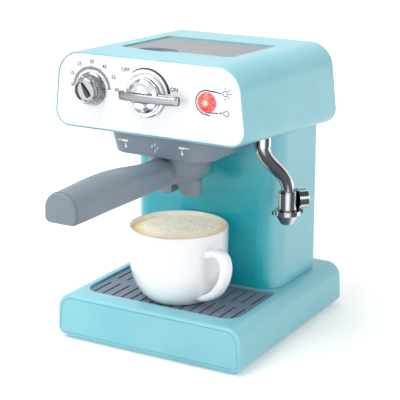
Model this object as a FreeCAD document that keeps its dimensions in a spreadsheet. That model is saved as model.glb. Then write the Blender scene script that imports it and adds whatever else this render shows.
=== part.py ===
"""Toy coffee maker: base with drip tray, column, head with controls, swinging
portafilter, steam wand and play cup.

Millimetres. +Z is up, +X to the right as seen from the front, -Y to the front.
The origin is the centre of the base's footprint, on the surface it stands on.
"""
import FreeCAD, Part
import math
import os
import re
import Sketcher
from FreeCAD import Placement, Rotation, Vector

doc = FreeCAD.newDocument("ToyCoffeeMaker")

# Driving dimensions, one alias each.
SIZES = {
    # base
    "base_width": 180, "base_depth": 194, "base_top": 40.5, "base_lean": 2,
    "base_corner": 13, "base_low_corner": 7, "base_edge": 2.5, "pan_low": 1, "pan_top": 3,
    "foot_radius": 8, "foot_inset": 16,
    # drip tray recess and grille
    "tray_half": 74, "tray_front": -80, "tray_back": -3.5, "tray_floor": 28,
    "tray_ledge": 35.5, "tray_corner": 15, "grille_top": 38.5, "grille_gap": 0.4,
    "slot_long": 28, "slot_wide": 2, "slot_pitch": 9.5, "slot_rows_pitch": 38,
    # column
    "column_half": 72, "column_back": 74, "column_wall": 2.5, "column_corner": 20,
    "cover_thick": 2.5,
    # head
    "head_front": -92, "head_depth": 168, "head_top": 250, "head_low": 187,
    "top_drop": 5, "low_drop": 12.4, "head_half_top": 83, "head_half_low": 90,
    "head_top_corner": 22, "head_low_corner": 13, "head_wall": 2.2,
    "panel_thick": 2.4, "panel_lip": 0.9,
    # lid, its recess and the tank, measured in the plane of the sloping top
    "lid_half": 53, "lid_front": -49, "lid_back": 31, "lid_sink": 1.2, "lid_thick": 2.4,
    "notch_across": -19,
    "ledge_wide": 3.5, "frame_deep": 10, "tank_deep": 46, "tank_wall": 1.6,
    # controls on the front panel
    "control_level": 220.5, "timer_across": -52, "lamp_across": 55,
    "timer_radius": 13.5, "timer_long": 11, "power_radius": 17.5,
    "lamp_radius": 7.6, "lamp_travel": 1.2, "spindle_radius": 2.5,
    # group housing and portafilter
    "group_axis": -40, "group_low": 166, "group_half_low": 46.5, "group_half_top": 50,
    "group_front": -76, "group_corner": 18, "bowl_radius": 27, "neck_radius": 9,
    "ring_bore": 25.8, "lug_bore": 28.4, "spout_half": 11.5, "spout_radius": 8.2,
    "spout_tip": 127.5, "handle_axis": 154.5, "handle_end": -209,
    # steam wand
    "wand_across": 74, "wand_axis": -34, "wand_yaw": 48,
    # cup
    "cup_across": 2, "cup_axis": -46.2, "cup_radius": 42, "cup_tall": 63.5, "cup_wall": 2, "cup_yaw": -22,
}
sheet = doc.addObject("Spreadsheet::Sheet", "Sizes")
for row, (alias, size) in enumerate(SIZES.items(), start=1):
    sheet.set("A%d" % row, alias.replace("_", " "))
    sheet.set("B%d" % row, str(size))
    sheet.setAlias("B%d" % row, alias)
doc.recompute()

PARTS = []


def linked(expression):
    """The expression with every alias pointed at the sheet."""
    def point(match):
        word = match.group(0)
        return "Sizes." + word if word in SIZES else word
    return re.sub(r"[a-z]\w*", point, str(expression))


def value(expression):
    """What an expression on the sheet comes to."""
    return float(sheet.evalExpression(str(expression)))


def new_body(label):
    body = doc.addObject("PartDesign::Body", label)
    body.Label = label
    PARTS.append(body)
    return body


def sketch_on(body, plane, offset=0, tilt=0):
    """A sketch on an origin plane (XY, XZ or YZ) of the body, moved along its normal."""
    sketch = body.newObject("Sketcher::SketchObject", body.Label + "_sketch")
    support = [f for f in body.Origin.OriginFeatures if f.Role == plane + "_Plane"][0]
    sketch.AttachmentSupport = [(support, "")]
    sketch.MapMode = "FlatFace"
    sketch.AttachmentOffset = Placement(Vector(0, 0, value(offset)),
                                        Rotation(Vector(1, 0, 0), tilt))
    sketch.setExpression("AttachmentOffset.Base.z", linked(offset))
    return sketch


def place_point(sketch, geometry, which, x, y):
    """Fix a point of the geometry at x, y, both given as expressions."""
    for kind, size in (("DistanceX", x), ("DistanceY", y)):
        index = sketch.addConstraint(
            Sketcher.Constraint(kind, -1, 1, geometry, which, value(size)))
        if not isinstance(size, (int, float)):
            sketch.setExpression("Constraints[%d]" % index, linked(size))


def outline(sketch, corners, radii=0):
    """A closed outline through the corners, rounded where a radius is given."""
    count = len(corners)
    radii = list(radii) if isinstance(radii, (list, tuple)) else [radii] * count
    spots = [Vector(value(x), value(y), 0) for x, y in corners]
    rounds = [value(r) for r in radii]
    sharp = not any(rounds)
    guides = []
    for i in range(count):
        line = Part.LineSegment(spots[i], spots[(i + 1) % count])
        guides.append(sketch.addGeometry(line, not sharp))
    for i in range(count):
        sketch.addConstraint(
            Sketcher.Constraint("Coincident", guides[i], 2, guides[(i + 1) % count], 1))
        place_point(sketch, guides[i], 1, *corners[i])
    if sharp:
        return
    before, after = [], []
    for i in range(count):
        back = (spots[i - 1] - spots[i]).normalize()
        ahead = (spots[(i + 1) % count] - spots[i]).normalize()
        half = back.getAngle(ahead) / 2
        step = rounds[i] / math.tan(half) if rounds[i] else 0
        before.append(spots[i] + back * step)
        after.append(spots[i] + ahead * step)
    sides = []
    for i in range(count):
        line = Part.LineSegment(after[i], before[(i + 1) % count])
        side = sketch.addGeometry(line, False)
        sides.append(side)
        sketch.addConstraint(Sketcher.Constraint("PointOnObject", side, 1, guides[i]))
        sketch.addConstraint(Sketcher.Constraint("PointOnObject", side, 2, guides[i]))
    for i in range(count):
        if not rounds[i]:
            sketch.addConstraint(Sketcher.Constraint("Coincident", sides[i - 1], 2, sides[i], 1))
            continue
        back = (spots[i - 1] - spots[i]).normalize()
        ahead = (spots[(i + 1) % count] - spots[i]).normalize()
        half = back.getAngle(ahead) / 2
        centre = spots[i] + (back + ahead).normalize() * (rounds[i] / math.sin(half))
        left = back.cross(ahead).z < 0
        first, last = (before[i], after[i]) if left else (after[i], before[i])
        a0 = math.atan2(first.y - centre.y, first.x - centre.x)
        a1 = math.atan2(last.y - centre.y, last.x - centre.x)
        if a1 < a0:
            a1 += 2 * math.pi
        circle = Part.Circle(centre, Vector(0, 0, 1), rounds[i])
        arc = sketch.addGeometry(Part.ArcOfCircle(circle, a0, a1), False)
        start, end = (1, 2) if left else (2, 1)
        sketch.addConstraint(Sketcher.Constraint("Tangent", sides[i - 1], 2, arc, start))
        sketch.addConstraint(Sketcher.Constraint("Tangent", arc, end, sides[i], 1))
        index = sketch.addConstraint(Sketcher.Constraint("Radius", arc, rounds[i]))
        if not isinstance(radii[i], (int, float)):
            sketch.setExpression("Constraints[%d]" % index, linked(radii[i]))


def rectangle(sketch, x0, x1, y0, y1, radii=0):
    outline(sketch, [(x0, y0), (x1, y0), (x1, y1), (x0, y1)], radii)


def circle(sketch, x, y, radius):
    spot = Vector(value(x), value(y), 0)
    index = sketch.addGeometry(Part.Circle(spot, Vector(0, 0, 1), value(radius)), False)
    place_point(sketch, index, 3, x, y)
    size = sketch.addConstraint(Sketcher.Constraint("Radius", index, value(radius)))
    if not isinstance(radius, (int, float)):
        sketch.setExpression("Constraints[%d]" % size, linked(radius))


def feature(body, kind, sketch, **settings):
    made = body.newObject("PartDesign::" + kind, body.Label + "_" + kind.lower())
    made.Profile = sketch
    for name, setting in settings.items():
        setattr(made, name, setting)
    return made


def pad(body, sketch, length, **settings):
    made = feature(body, "Pad", sketch, **settings)
    made.Length = value(length)
    made.setExpression("Length", linked(length))
    doc.recompute()
    return made


def pocket(body, sketch, length=None, **settings):
    """Cut away from the sketch, on the side where it meets the solid."""
    volume = body.Tip.Shape.Volume
    made = feature(body, "Pocket", sketch, **settings)
    if length is None:
        made.Type = "ThroughAll"
    else:
        made.Length = value(length)
        made.setExpression("Length", linked(length))
    doc.recompute()
    if not body.Tip.Shape.Volume < volume - 1e-6:
        made.Reversed = not made.Reversed
        doc.recompute()
    if not body.Tip.Shape.Volume < volume - 1e-6:
        raise RuntimeError("pocket in %s cuts nothing" % body.Label)
    return made


def turned(body, sketch, kind="Revolution"):
    """Turn a profile about the sketch's vertical axis."""
    made = feature(body, kind, sketch, ReferenceAxis=(sketch, ["V_Axis"]), Angle=360)
    doc.recompute()
    return made


def loft(body, sketches, kind="AdditiveLoft", ruled=False):
    made = feature(body, kind, sketches[0], Sections=sketches[1:], Ruled=ruled)
    doc.recompute()
    return made


def dress(body, kind, pick, size):
    """A fillet or chamfer on the edges of the tip that pick accepts."""
    doc.recompute()
    tip = body.Tip
    names = ["Edge%d" % i for i, e in enumerate(tip.Shape.Edges, start=1) if pick(e)]
    if not names:
        raise RuntimeError("no edges to dress on " + body.Label)
    made = body.newObject("PartDesign::" + kind, body.Label + "_" + kind.lower())
    made.Base = (tip, names)
    prop = "Radius" if kind == "Fillet" else "Size"
    setattr(made, prop, value(size))
    made.setExpression(prop, linked(size))
    body.Tip = made
    doc.recompute()
    return made


def polar(body, original, count, sketch=None, axis="N_Axis"):
    made = body.newObject("PartDesign::PolarPattern", body.Label + "_polar")
    made.Originals = [original]
    made.Axis = (sketch or original.Profile[0], [axis])
    made.Angle = 360
    made.Occurrences = count
    body.Tip = made
    doc.recompute()
    return made


def linear(body, originals, axis, span, count):
    made = body.newObject("PartDesign::LinearPattern", body.Label + "_row")
    made.Originals = originals
    made.Direction = (originals[0].Profile[0], [axis])
    made.Length = span
    made.Occurrences = count
    body.Tip = made
    doc.recompute()
    return made


def level(e, z, tolerance=0.05):
    b = e.BoundBox
    return abs(b.ZMin - z) < tolerance and abs(b.ZMax - z) < tolerance


def across_y(e, y, tolerance=0.05):
    b = e.BoundBox
    return abs(b.YMin - y) < tolerance and abs(b.YMax - y) < tolerance


def cylinder(name, radius, length, at, axis=Vector(0, 0, 1)):
    """A Part::Cylinder whose sizes follow the sheet."""
    made = doc.addObject("Part::Cylinder", name)
    made.Radius, made.Height = value(radius), value(length)
    made.setExpression("Radius", linked(radius))
    made.setExpression("Height", linked(length))
    made.Placement = Placement(at, Rotation(Vector(0, 0, 1), axis))
    return made


def block(name, x0, x1, y0, y1, z0, z1):
    """A Part::Box between two corners."""
    made = doc.addObject("Part::Box", name)
    for prop, low, high in (("Length", x0, x1), ("Width", y0, y1), ("Height", z0, z1)):
        size = "(%s) - (%s)" % (high, low)
        setattr(made, prop, value(size))
        made.setExpression(prop, linked(size))
    made.Placement = Placement(Vector(value(x0), value(y0), value(z0)), Rotation())
    return made


def keep(made, label=None):
    if label:
        made.Label = label
    PARTS.append(made)
    return made


def group(label, members):
    """Separate identical solids that share one node."""
    made = doc.addObject("Part::Compound", label)
    made.Label = label
    made.Links = members
    doc.recompute()
    PARTS.append(made)
    return made


def shaped(label, shape, placement=None):
    made = doc.addObject("Part::Feature", label)
    made.Label = label
    made.Shape = shape
    if placement:
        made.Placement = placement
    PARTS.append(made)
    return made


def rounded_route(points, radius_share=0.45):
    """Straight runs joined by tangent arcs as large as the runs allow."""
    edges, start = [], points[0]
    for i in range(1, len(points) - 1):
        back = points[i - 1] - points[i]
        ahead = points[i + 1] - points[i]
        reach = radius_share * min(back.Length, ahead.Length)
        back, ahead = back.normalize(), ahead.normalize()
        p, q = points[i] + back * reach, points[i] + ahead * reach
        half = back.getAngle(ahead) / 2
        radius = reach * math.tan(half)
        centre = points[i] + (back + ahead).normalize() * (radius / math.sin(half))
        middle = centre + (points[i] - centre).normalize() * radius
        edges.append(Part.LineSegment(start, p).toShape())
        edges.append(Part.Arc(p, middle, q).toShape())
        print("route radius %.1f" % radius)
        start = q
    edges.append(Part.LineSegment(start, points[-1]).toShape())
    return Part.Wire(edges)


def tube(points, radius):
    """A round tube along a rounded route."""
    wire = rounded_route(points)
    ring = Part.Wire(Part.makeCircle(radius, points[0], points[1] - points[0]))
    return wire.makePipeShell([ring], True, False)


# ---------------------------------------------------------------- base
def build_base():
    half_w, half_d = "base_width / 2", "base_depth / 2"

    cover = new_body("base_cover")
    end = sketch_on(cover, "XZ", half_d)
    outline(end, [("-" + half_w, "pan_top"), (half_w, "pan_top"),
                  (half_w + " - base_lean", "base_top"), ("-%s + base_lean" % half_w, "base_top")],
            ["base_low_corner", "base_low_corner", "base_corner", "base_corner"])
    pad(cover, end, "base_depth", Reversed=True)
    reach = value(half_d)
    dress(cover, "Fillet", lambda e: across_y(e, -reach) or across_y(e, reach), "base_edge")
    room = sketch_on(cover, "XY", "pan_top")
    rectangle(room, "-%s + 10" % half_w, "%s - 10" % half_w,
              "-%s + 5" % half_d, "%s - 5" % half_d, 4)
    pocket(cover, room, "tray_floor - 2 - pan_top", Reversed=True)
    ring = sketch_on(cover, "XY", "pan_top")
    rectangle(ring, "-%s + 10" % half_w, "%s - 10" % half_w,
              "-%s + 7.5" % half_d, "%s - 7.5" % half_d, 4)
    rectangle(ring, "-tray_half - 2", "tray_half + 2", "tray_front - 2", "tray_back + 2", 6)
    pocket(cover, ring, "base_top - 3 - pan_top", Reversed=True)
    mouth = sketch_on(cover, "XY", "base_top")
    corners = ["tray_corner", "tray_corner", 5, 5]
    rectangle(mouth, "-tray_half", "tray_half", "tray_front", "tray_back", corners)
    pocket(cover, mouth, "base_top - tray_ledge")
    basin = sketch_on(cover, "XY", "base_top")
    rectangle(basin, "-tray_half + 3", "tray_half - 3", "tray_front + 3", "tray_back - 3",
              ["tray_corner - 3", "tray_corner - 3", 2, 2])
    pocket(cover, basin, "base_top - tray_floor")
    duct = sketch_on(cover, "XY", "base_top")
    rectangle(duct, -40, -22, 22, 56, 4)
    pocket(cover, duct, 5)
    posts = sketch_on(cover, "XY", "pan_top")
    for x in (-76, 76):
        for y in (-86.5, 4, 84):
            circle(posts, x, y, 4.6)
    pad(cover, posts, "base_top - 2 - pan_top")
    pilots = sketch_on(cover, "XY", "pan_top")
    for x in (-76, 76):
        for y in (-86.5, 4, 84):
            circle(pilots, x, y, 1.3)
    pocket(cover, pilots, 14, Reversed=True)

    pan = new_body("base_pan")
    floor = sketch_on(pan, "XY", "pan_low")
    side, end = half_w + " - base_low_corner", half_d + " - base_edge"
    rectangle(floor, "-(%s)" % side, side, "-(%s)" % end, end, 3)
    pad(pan, floor, "pan_top - pan_low")
    hatch = sketch_on(pan, "XY", "pan_low")
    rectangle(hatch, -31, 31, -74, -16, 3)
    pocket(pan, hatch, Reversed=True)
    seats = sketch_on(pan, "XY", "pan_low")
    for x in (-1, 1):
        for y in (-1, 1):
            circle(seats, "%d * (%s - foot_inset)" % (x, half_w),
                   "%d * (%s - foot_inset)" % (y, half_d), "foot_radius + 0.1")
    pocket(pan, seats, 0.8, Reversed=True)
    holes = sketch_on(pan, "XY", "pan_low")
    for x in (-76, 76):
        for y in (-86.5, 4, 84):
            circle(holes, x, y, 1.8)
    pocket(pan, holes, Reversed=True)
    sound = sketch_on(pan, "XY", "pan_low")
    rectangle(sound, 32, 58, 41, 43, 0.9)
    slot = pocket(pan, sound, Reversed=True)
    linear(pan, [slot], "V_Axis", 20, 5)

    feet = []
    for i, (x, y) in enumerate(((-1, -1), (1, -1), (1, 1), (-1, 1))):
        at = Vector(x * (value(half_w) - value("foot_inset")),
                    y * (value(half_d) - value("foot_inset")), 0)
        pill = cylinder("foot_pill_%d" % i, "foot_radius", "pan_low + 0.8", at)
        soft = doc.addObject("Part::Fillet", "foot_%d" % i)
        soft.Base = pill
        doc.recompute()
        low = [n for n, e in enumerate(pill.Shape.Edges, start=1) if level(e, 0)]
        soft.Edges = [(n, 0.5, 0.5) for n in low]
        feet.append(soft)
    group("rubber_feet", feet)

    door = new_body("battery_door")
    plate = sketch_on(door, "XY", "pan_low")
    rectangle(plate, -30.7, 30.7, -73.7, -16.3, 2.7)
    pad(door, plate, "pan_top - pan_low")
    grips = sketch_on(door, "XY", "pan_low")
    rectangle(grips, -9, 9, -70, -69, 0)
    rib = pocket(door, grips, 0.5, Reversed=True)
    linear(door, [rib], "V_Axis", 8, 5)
    eye = sketch_on(door, "XY", "pan_low")
    circle(eye, 0, -21, 1.6)
    pocket(door, eye, Reversed=True)

    case = new_body("battery_box")
    walls = sketch_on(case, "XY", "pan_top")
    rectangle(walls, -30.5, 30.5, -71, -19, 2)
    pad(case, walls, 19.5)
    cells = sketch_on(case, "XY", "pan_top")
    rectangle(cells, -27.6, 27.6, -69.4, -22, 1)
    pocket(case, cells, 17.8, Reversed=True)

    batteries, contacts = [], []
    for i in range(3):
        y = -61.6 + 15.2 * i
        side = 1 if i % 2 else -1
        can = cylinder("cell_can_%d" % i, 7.1, 48.5, Vector(-24.6, y, 11.6), Vector(1, 0, 0))
        tip = cylinder("cell_tip_%d" % i, 2.7, 1.4,
                       Vector(23.9 if side > 0 else -26, y, 11.6), Vector(1, 0, 0))
        cell = doc.addObject("Part::MultiFuse", "cell_%d" % i)
        cell.Shapes = [can, tip]
        batteries.append(cell)
        for end in (-1, 1):
            x = 26.2 * end
            leaf = block("leaf_%d_%d" % (i, end), min(x, x + 1.3 * end), max(x, x + 1.3 * end),
                         y - 5, y + 5, 6.6, 16.6)
            contacts.append(leaf)
    group("battery_cells", batteries)
    group("battery_contacts", contacts)

    screws = []
    for i, (x, y) in enumerate([(x, y) for x in (-76, 76) for y in (-86.5, 4, 84)]):
        shank = cylinder("base_shank_%d" % i, 1.25, 11, Vector(x, y, 2.9))
        head = cylinder("base_head_%d" % i, 1.7, 1.15, Vector(x, y, 1.85))
        screw = doc.addObject("Part::MultiFuse", "base_screw_%d" % i)
        screw.Shapes = [shank, head]
        screws.append(screw)
    group("base_screws", screws)


def build_grille():
    grille = new_body("drip_grille")
    gap = "grille_gap"
    plate = sketch_on(grille, "XY", "tray_ledge + 0.05")
    rectangle(plate, "-tray_half + " + gap, "tray_half - " + gap, "tray_front + " + gap,
              "tray_back - " + gap, ["tray_corner - 0.4", "tray_corner - 0.4", 4.6, 4.6])
    pad(grille, plate, "grille_top - tray_ledge - 0.05")
    top = value("grille_top")
    dress(grille, "Fillet", lambda e: level(e, top), 0.8)
    under = sketch_on(grille, "XY", "tray_ledge + 0.05")
    rectangle(under, "-tray_half + 7", "tray_half - 7", "tray_front + 6", "tray_back - 6", 6)
    pocket(grille, under, 1, Reversed=True)
    bar = sketch_on(grille, "XY", "grille_top")
    near = "tray_front + 5"
    first = "-7 * slot_pitch"
    rectangle(bar, "%s - slot_wide / 2" % first, "%s + slot_wide / 2" % first,
              near, "%s + slot_long" % near, 0.9)
    far = "tray_front + 5 + slot_rows_pitch"
    rectangle(bar, "%s - slot_wide / 2" % first, "%s + slot_wide / 2" % first,
              far, "%s + slot_long" % far, 0.9)
    slots = pocket(grille, bar)
    linear(grille, [slots], "H_Axis", 14 * value("slot_pitch"), 15)


# -------------------------------------------------------------- column
def build_column():
    shell = new_body("column_shell")
    plan = sketch_on(shell, "XY", "base_top")
    rectangle(plan, "-column_half", "column_half", "tray_back", "column_back - cover_thick",
              ["column_corner", "column_corner", 0, 0])
    pad(shell, plan, 144)
    inside = sketch_on(shell, "XY", "base_top")
    inner = "column_corner - column_wall"
    rectangle(inside, "-column_half + column_wall", "column_half - column_wall",
              "tray_back + column_wall", "column_back + 5", [inner, inner, 0, 0])
    pocket(shell, inside, Reversed=True)
    slope = sketch_on(shell, "YZ")
    rise = "(low_drop / head_depth)"
    near, far = "tray_back - 5", "column_back + 5"
    under = "head_low - 0.02 - (%s - head_front) * " + rise
    outline(slope, [(near, under % near), (far, under % far), (far, 220), (near, 220)])
    pocket(shell, slope, Midplane=True)
    posts = sketch_on(shell, "XZ", -60)
    pilots = sketch_on(shell, "XZ", -60)
    for side in (-1, 1):
        for z in (52, 160):
            rectangle(posts, min(side * 60, side * 70.5), max(side * 60, side * 70.5),
                      z - 4, z + 4)
            circle(pilots, side * 64, z, 1.33)
    pad(shell, posts, "column_back - cover_thick - 60", Reversed=True)
    pocket(shell, pilots, 20)
    low = value("base_top")
    dress(shell, "Chamfer", lambda e: level(e, low) and e.BoundBox.YMin < 71
          and (abs(e.BoundBox.XMin) > 71.9 or abs(e.BoundBox.XMax) > 71.9
               or e.BoundBox.YMax < value("tray_back") + 0.01), 0.6)

    back = new_body("column_back_cover")
    plate = sketch_on(back, "XZ", "-column_back + cover_thick")
    lift = "head_low - 0.1 - low_drop"
    rectangle(plate, "-column_half", "column_half", "base_top", lift, [3, 3, 3, 3])
    pad(back, plate, "cover_thick", Reversed=True)
    rear = value("column_back")
    dress(back, "Fillet", lambda e: across_y(e, rear), 1.5)
    vent = sketch_on(back, "XZ", "-column_back")
    rectangle(vent, -22, 22, 120, 122.4, 1.1)
    slot = pocket(back, vent)
    linear(back, [slot], "V_Axis", 30, 6)
    holes = sketch_on(back, "XZ", "-column_back")
    for x in (-64, 64):
        for z in (52, 160):
            circle(holes, x, z, 1.7)
    pocket(back, holes)

    posts = []
    for i, (x, z) in enumerate([(x, z) for x in (-64, 64) for z in (52, 160)]):
        shank = cylinder("rear_shank_%d" % i, 1.3, 10, Vector(x, rear - 11, z), Vector(0, 1, 0))
        head = cylinder("rear_head_%d" % i, 1.65, 1.2, Vector(x, rear - 1.6, z), Vector(0, 1, 0))
        screw = doc.addObject("Part::MultiFuse", "rear_screw_%d" % i)
        screw.Shapes = [shank, head]
        posts.append(screw)
    group("back_cover_screws", posts)


# ---------------------------------------------------------------- head
def head_block(body, inset, front, rear):
    """The head's solid, moved inwards by inset on every side but the front."""
    side = sketch_on(body, "YZ")
    top = "head_top - %s - top_drop * (%s - head_front) / head_depth"
    low = "head_low + %s - low_drop * (%s - head_front) / head_depth"
    outline(side, [(front, low % (inset, front)), (rear, low % (inset, rear)),
                   (rear, top % (inset, rear)), (front, top % (inset, front))])
    pad(body, side, "2 * head_half_low + 20", Midplane=True)
    spread = "27 * (head_half_low - head_half_top) / (head_top - head_low)"
    for hand in (-1, 1):
        flank = sketch_on(body, "XZ")
        outline(flank, [("%d * (head_half_top - %s)" % (hand, inset), "head_top"),
                        (hand * 130, "head_top"), (hand * 130, "head_low - 27"),
                        ("%d * (head_half_low - %s + %s)" % (hand, inset, spread),
                         "head_low - 27")])
        pocket(body, flank, Midplane=True)
    dress(body, "Fillet", lambda e: e.BoundBox.YLength > 150 and e.BoundBox.ZMin > 230,
          "head_top_corner - " + inset)
    dress(body, "Fillet", lambda e: e.BoundBox.YLength > 150 and e.BoundBox.ZMax < 200,
          "head_low_corner - " + inset)
    back = value(rear)
    dress(body, "Fillet", lambda e: across_y(e, back), "3 - " + inset)


def head_section(body, at, inset, level_share):
    """The head's outline seen from the front, at a depth and moved inwards."""
    sketch = sketch_on(body, "XZ", "-(%s)" % at)
    top = "head_top - top_drop * %s - %s" % (level_share, inset)
    low = "head_low - low_drop * %s + %s" % (level_share, inset)
    outline(sketch,
            [("-head_half_low + " + inset, low), ("head_half_low - " + inset, low),
             ("head_half_top - " + inset, top), ("-head_half_top + " + inset, top)],
            ["head_low_corner - " + inset, "head_low_corner - " + inset,
             "head_top_corner - " + inset, "head_top_corner - " + inset])
    return sketch


def top_plane():
    """Height of the sloping top above the origin, and its tilt in degrees."""
    drop = value("top_drop") / value("head_depth")
    return value("head_top") + value("head_front") * drop, -math.degrees(math.atan(drop))


def build_head():
    shell = new_body("head_shell")
    head_block(shell, "0", "head_front", "(head_front + head_depth)")
    front = value("head_front")
    dress(shell, "Fillet", lambda e: across_y(e, front), 1.2)
    room = new_body("head_room")
    PARTS.remove(room)
    head_block(room, "head_wall", "(head_front - 0.5)", "(head_front + head_depth - head_wall)")
    hollow = shell.newObject("PartDesign::Boolean", "head_hollow")
    hollow.Type = "Cut"
    hollow.setObjects([room])
    shell.Tip = hollow
    doc.recompute()
    pocket(shell, head_section(shell, "head_front", "panel_lip", 0), "panel_thick + 0.5")
    height, tilt = top_plane()
    frame = sketch_on(shell, "XY", height - 0.6, tilt)
    rectangle(frame, "-lid_half - 2.5", "lid_half + 2.5", "lid_front - 9", "lid_back + 2.5", 4)
    pad(shell, frame, "frame_deep - 0.6", Reversed=True)
    recess = sketch_on(shell, "XY", height + 2, tilt)
    rectangle(recess, "-lid_half", "lid_half", "lid_front", "lid_back", [6, 6, 1.5, 1.5])
    pocket(shell, recess, "2 + lid_sink + lid_thick + 0.1")
    well = sketch_on(shell, "XY", height + 2, tilt)
    rectangle(well, "-lid_half + ledge_wide", "lid_half - ledge_wide",
              "lid_front + ledge_wide", "lid_back - ledge_wide", 4)
    pocket(shell, well, "frame_deep + 4")
    scoop = sketch_on(shell, "XY", height + 2, tilt)
    circle(scoop, "notch_across", "lid_front + 26.4", 31.4)
    pocket(shell, scoop, "2 + lid_sink + lid_thick")
    dish = sketch_on(shell, "XY", height - 7, tilt)
    rectangle(dish, "notch_across - 21", "notch_across + 21", "lid_front - 6",
              "lid_front + 20.5", [2, 2, 18, 18])
    pad(shell, dish, 2, Reversed=True)
    pivot = sketch_on(shell, "YZ")
    ctr = hinge_line()
    circle(pivot, ctr.y, ctr.z, 1.18)
    pocket(shell, pivot, "2 * lid_half + 4", Midplane=True)
    belly = sketch_on(shell, "XY", 165)
    rectangle(belly, "-group_half_top - 0.3", "group_half_top + 0.3", "group_front - 3.6",
              "tray_back", ["group_corner - 1", "group_corner - 1", 0, 0])
    rectangle(belly, "-column_half + 8", "column_half - 8", "tray_back + 8",
              "column_back - 8", 8)
    pocket(shell, belly, 25, Reversed=True)
    socket = sketch_on(shell, "XY", 165)
    circle(socket, "wand_across", "wand_axis", 7.1)
    pocket(shell, socket, 25, Reversed=True)

    panel = new_body("front_panel")
    face = head_section(panel, "head_front + 0.5", "(panel_lip + 0.15)", 0)
    pad(panel, face, "panel_thick", Reversed=True)
    ahead = value("head_front") + 0.5
    dress(panel, "Fillet", lambda e: across_y(e, ahead), 0.7)
    holes = sketch_on(panel, "XZ", "-head_front - 0.5")
    circle(holes, "timer_across", "control_level", "spindle_radius + 1.5")
    circle(holes, 0, "control_level", "spindle_radius + 2.5")
    circle(holes, "lamp_across", "control_level", "lamp_radius + 0.3")
    pocket(panel, holes)
    pillars = sketch_on(panel, "XZ", "-(head_front + 0.5 + panel_thick)")
    for x, z in ((34, 206), (74, 206), (74, 234)):
        circle(pillars, x, z, 2.2)
    pad(panel, pillars, "7.75", Reversed=True)


def hinge_line():
    """Where the lid's hinge axis crosses the middle plane."""
    height, tilt = top_plane()
    turn = Rotation(Vector(1, 0, 0), tilt)
    local = Vector(0, value("lid_back - 1.6"), -value("lid_sink + lid_thick / 2"))
    return turn.multVec(local) + Vector(0, 0, height)


def on_top(part):
    """Seat a sub-part drawn level on the head's sloping top."""
    height, tilt = top_plane()
    part.Placement = Placement(Vector(0, 0, height), Rotation(Vector(1, 0, 0), tilt))


def build_lid_and_tank():
    lid = new_body("tank_lid")
    plate = sketch_on(lid, "XY", "-lid_sink - lid_thick")
    rectangle(plate, "-lid_half + 0.4", "lid_half - 0.4", "lid_front + 0.4", "lid_back - 0.4",
              [5.6, 5.6, 1.2, 1.2])
    pad(lid, plate, "lid_thick")
    hind = value("lid_back - 0.4")
    dress(lid, "Fillet", lambda e: across_y(e, hind) and e.BoundBox.XLength > 20,
          "lid_thick / 2 - 0.02")
    notch = sketch_on(lid, "XY", 2)
    rectangle(notch, "notch_across - 19.5", "notch_across + 19.5", "lid_front - 8",
              "lid_front + 19.5", [2, 2, 18, 18])
    pocket(lid, notch)
    pins = sketch_on(lid, "YZ")
    circle(pins, "lid_back - 1.6", "-lid_sink - lid_thick / 2", 1.1)
    pad(lid, pins, "2 * lid_half + 3", Midplane=True)
    on_top(lid)

    tank = new_body("water_tank")
    rim = sketch_on(tank, "XY", "-frame_deep - 2")
    rectangle(rim, "-lid_half - 2.5", "lid_half + 2.5", "lid_front - 4", "lid_back + 2.5", 4)
    pad(tank, rim, 1.95)
    box = sketch_on(tank, "XY", "-frame_deep - 2")
    rectangle(box, "-lid_half + 2", "lid_half - 2", "lid_front + 2", "lid_back - 2", 6)
    pad(tank, box, "tank_deep - frame_deep - 2", Reversed=True)
    room = sketch_on(tank, "XY", "-frame_deep")
    rectangle(room, "-lid_half + ledge_wide", "lid_half - ledge_wide",
              "lid_front + ledge_wide", "lid_back - ledge_wide", 4)
    pocket(tank, room, "tank_deep - frame_deep - tank_wall")
    port = sketch_on(tank, "XY", "-tank_deep - 6")
    circle(port, 0, 12, 3.6)
    pad(tank, port, 7)
    bore = sketch_on(tank, "XY", "-tank_deep - 6")
    circle(bore, 0, 12, 2)
    pocket(tank, bore, 10, Reversed=True)
    on_top(tank)


# ------------------------------------------------------------ controls
def front_turned(label, profile):
    """A piece turned about an axis that points to the front, drawn from the panel out."""
    body = new_body(label)
    sketch = sketch_on(body, "XZ")
    outline(sketch, profile)
    turned(body, sketch)
    return body


def face_front(part, x, y, z):
    """Turn a piece drawn upright so that its top looks to the front, and place it."""
    part.Placement = Placement(Vector(x, y, z), Rotation(Vector(1, 0, 0), 90))


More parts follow.
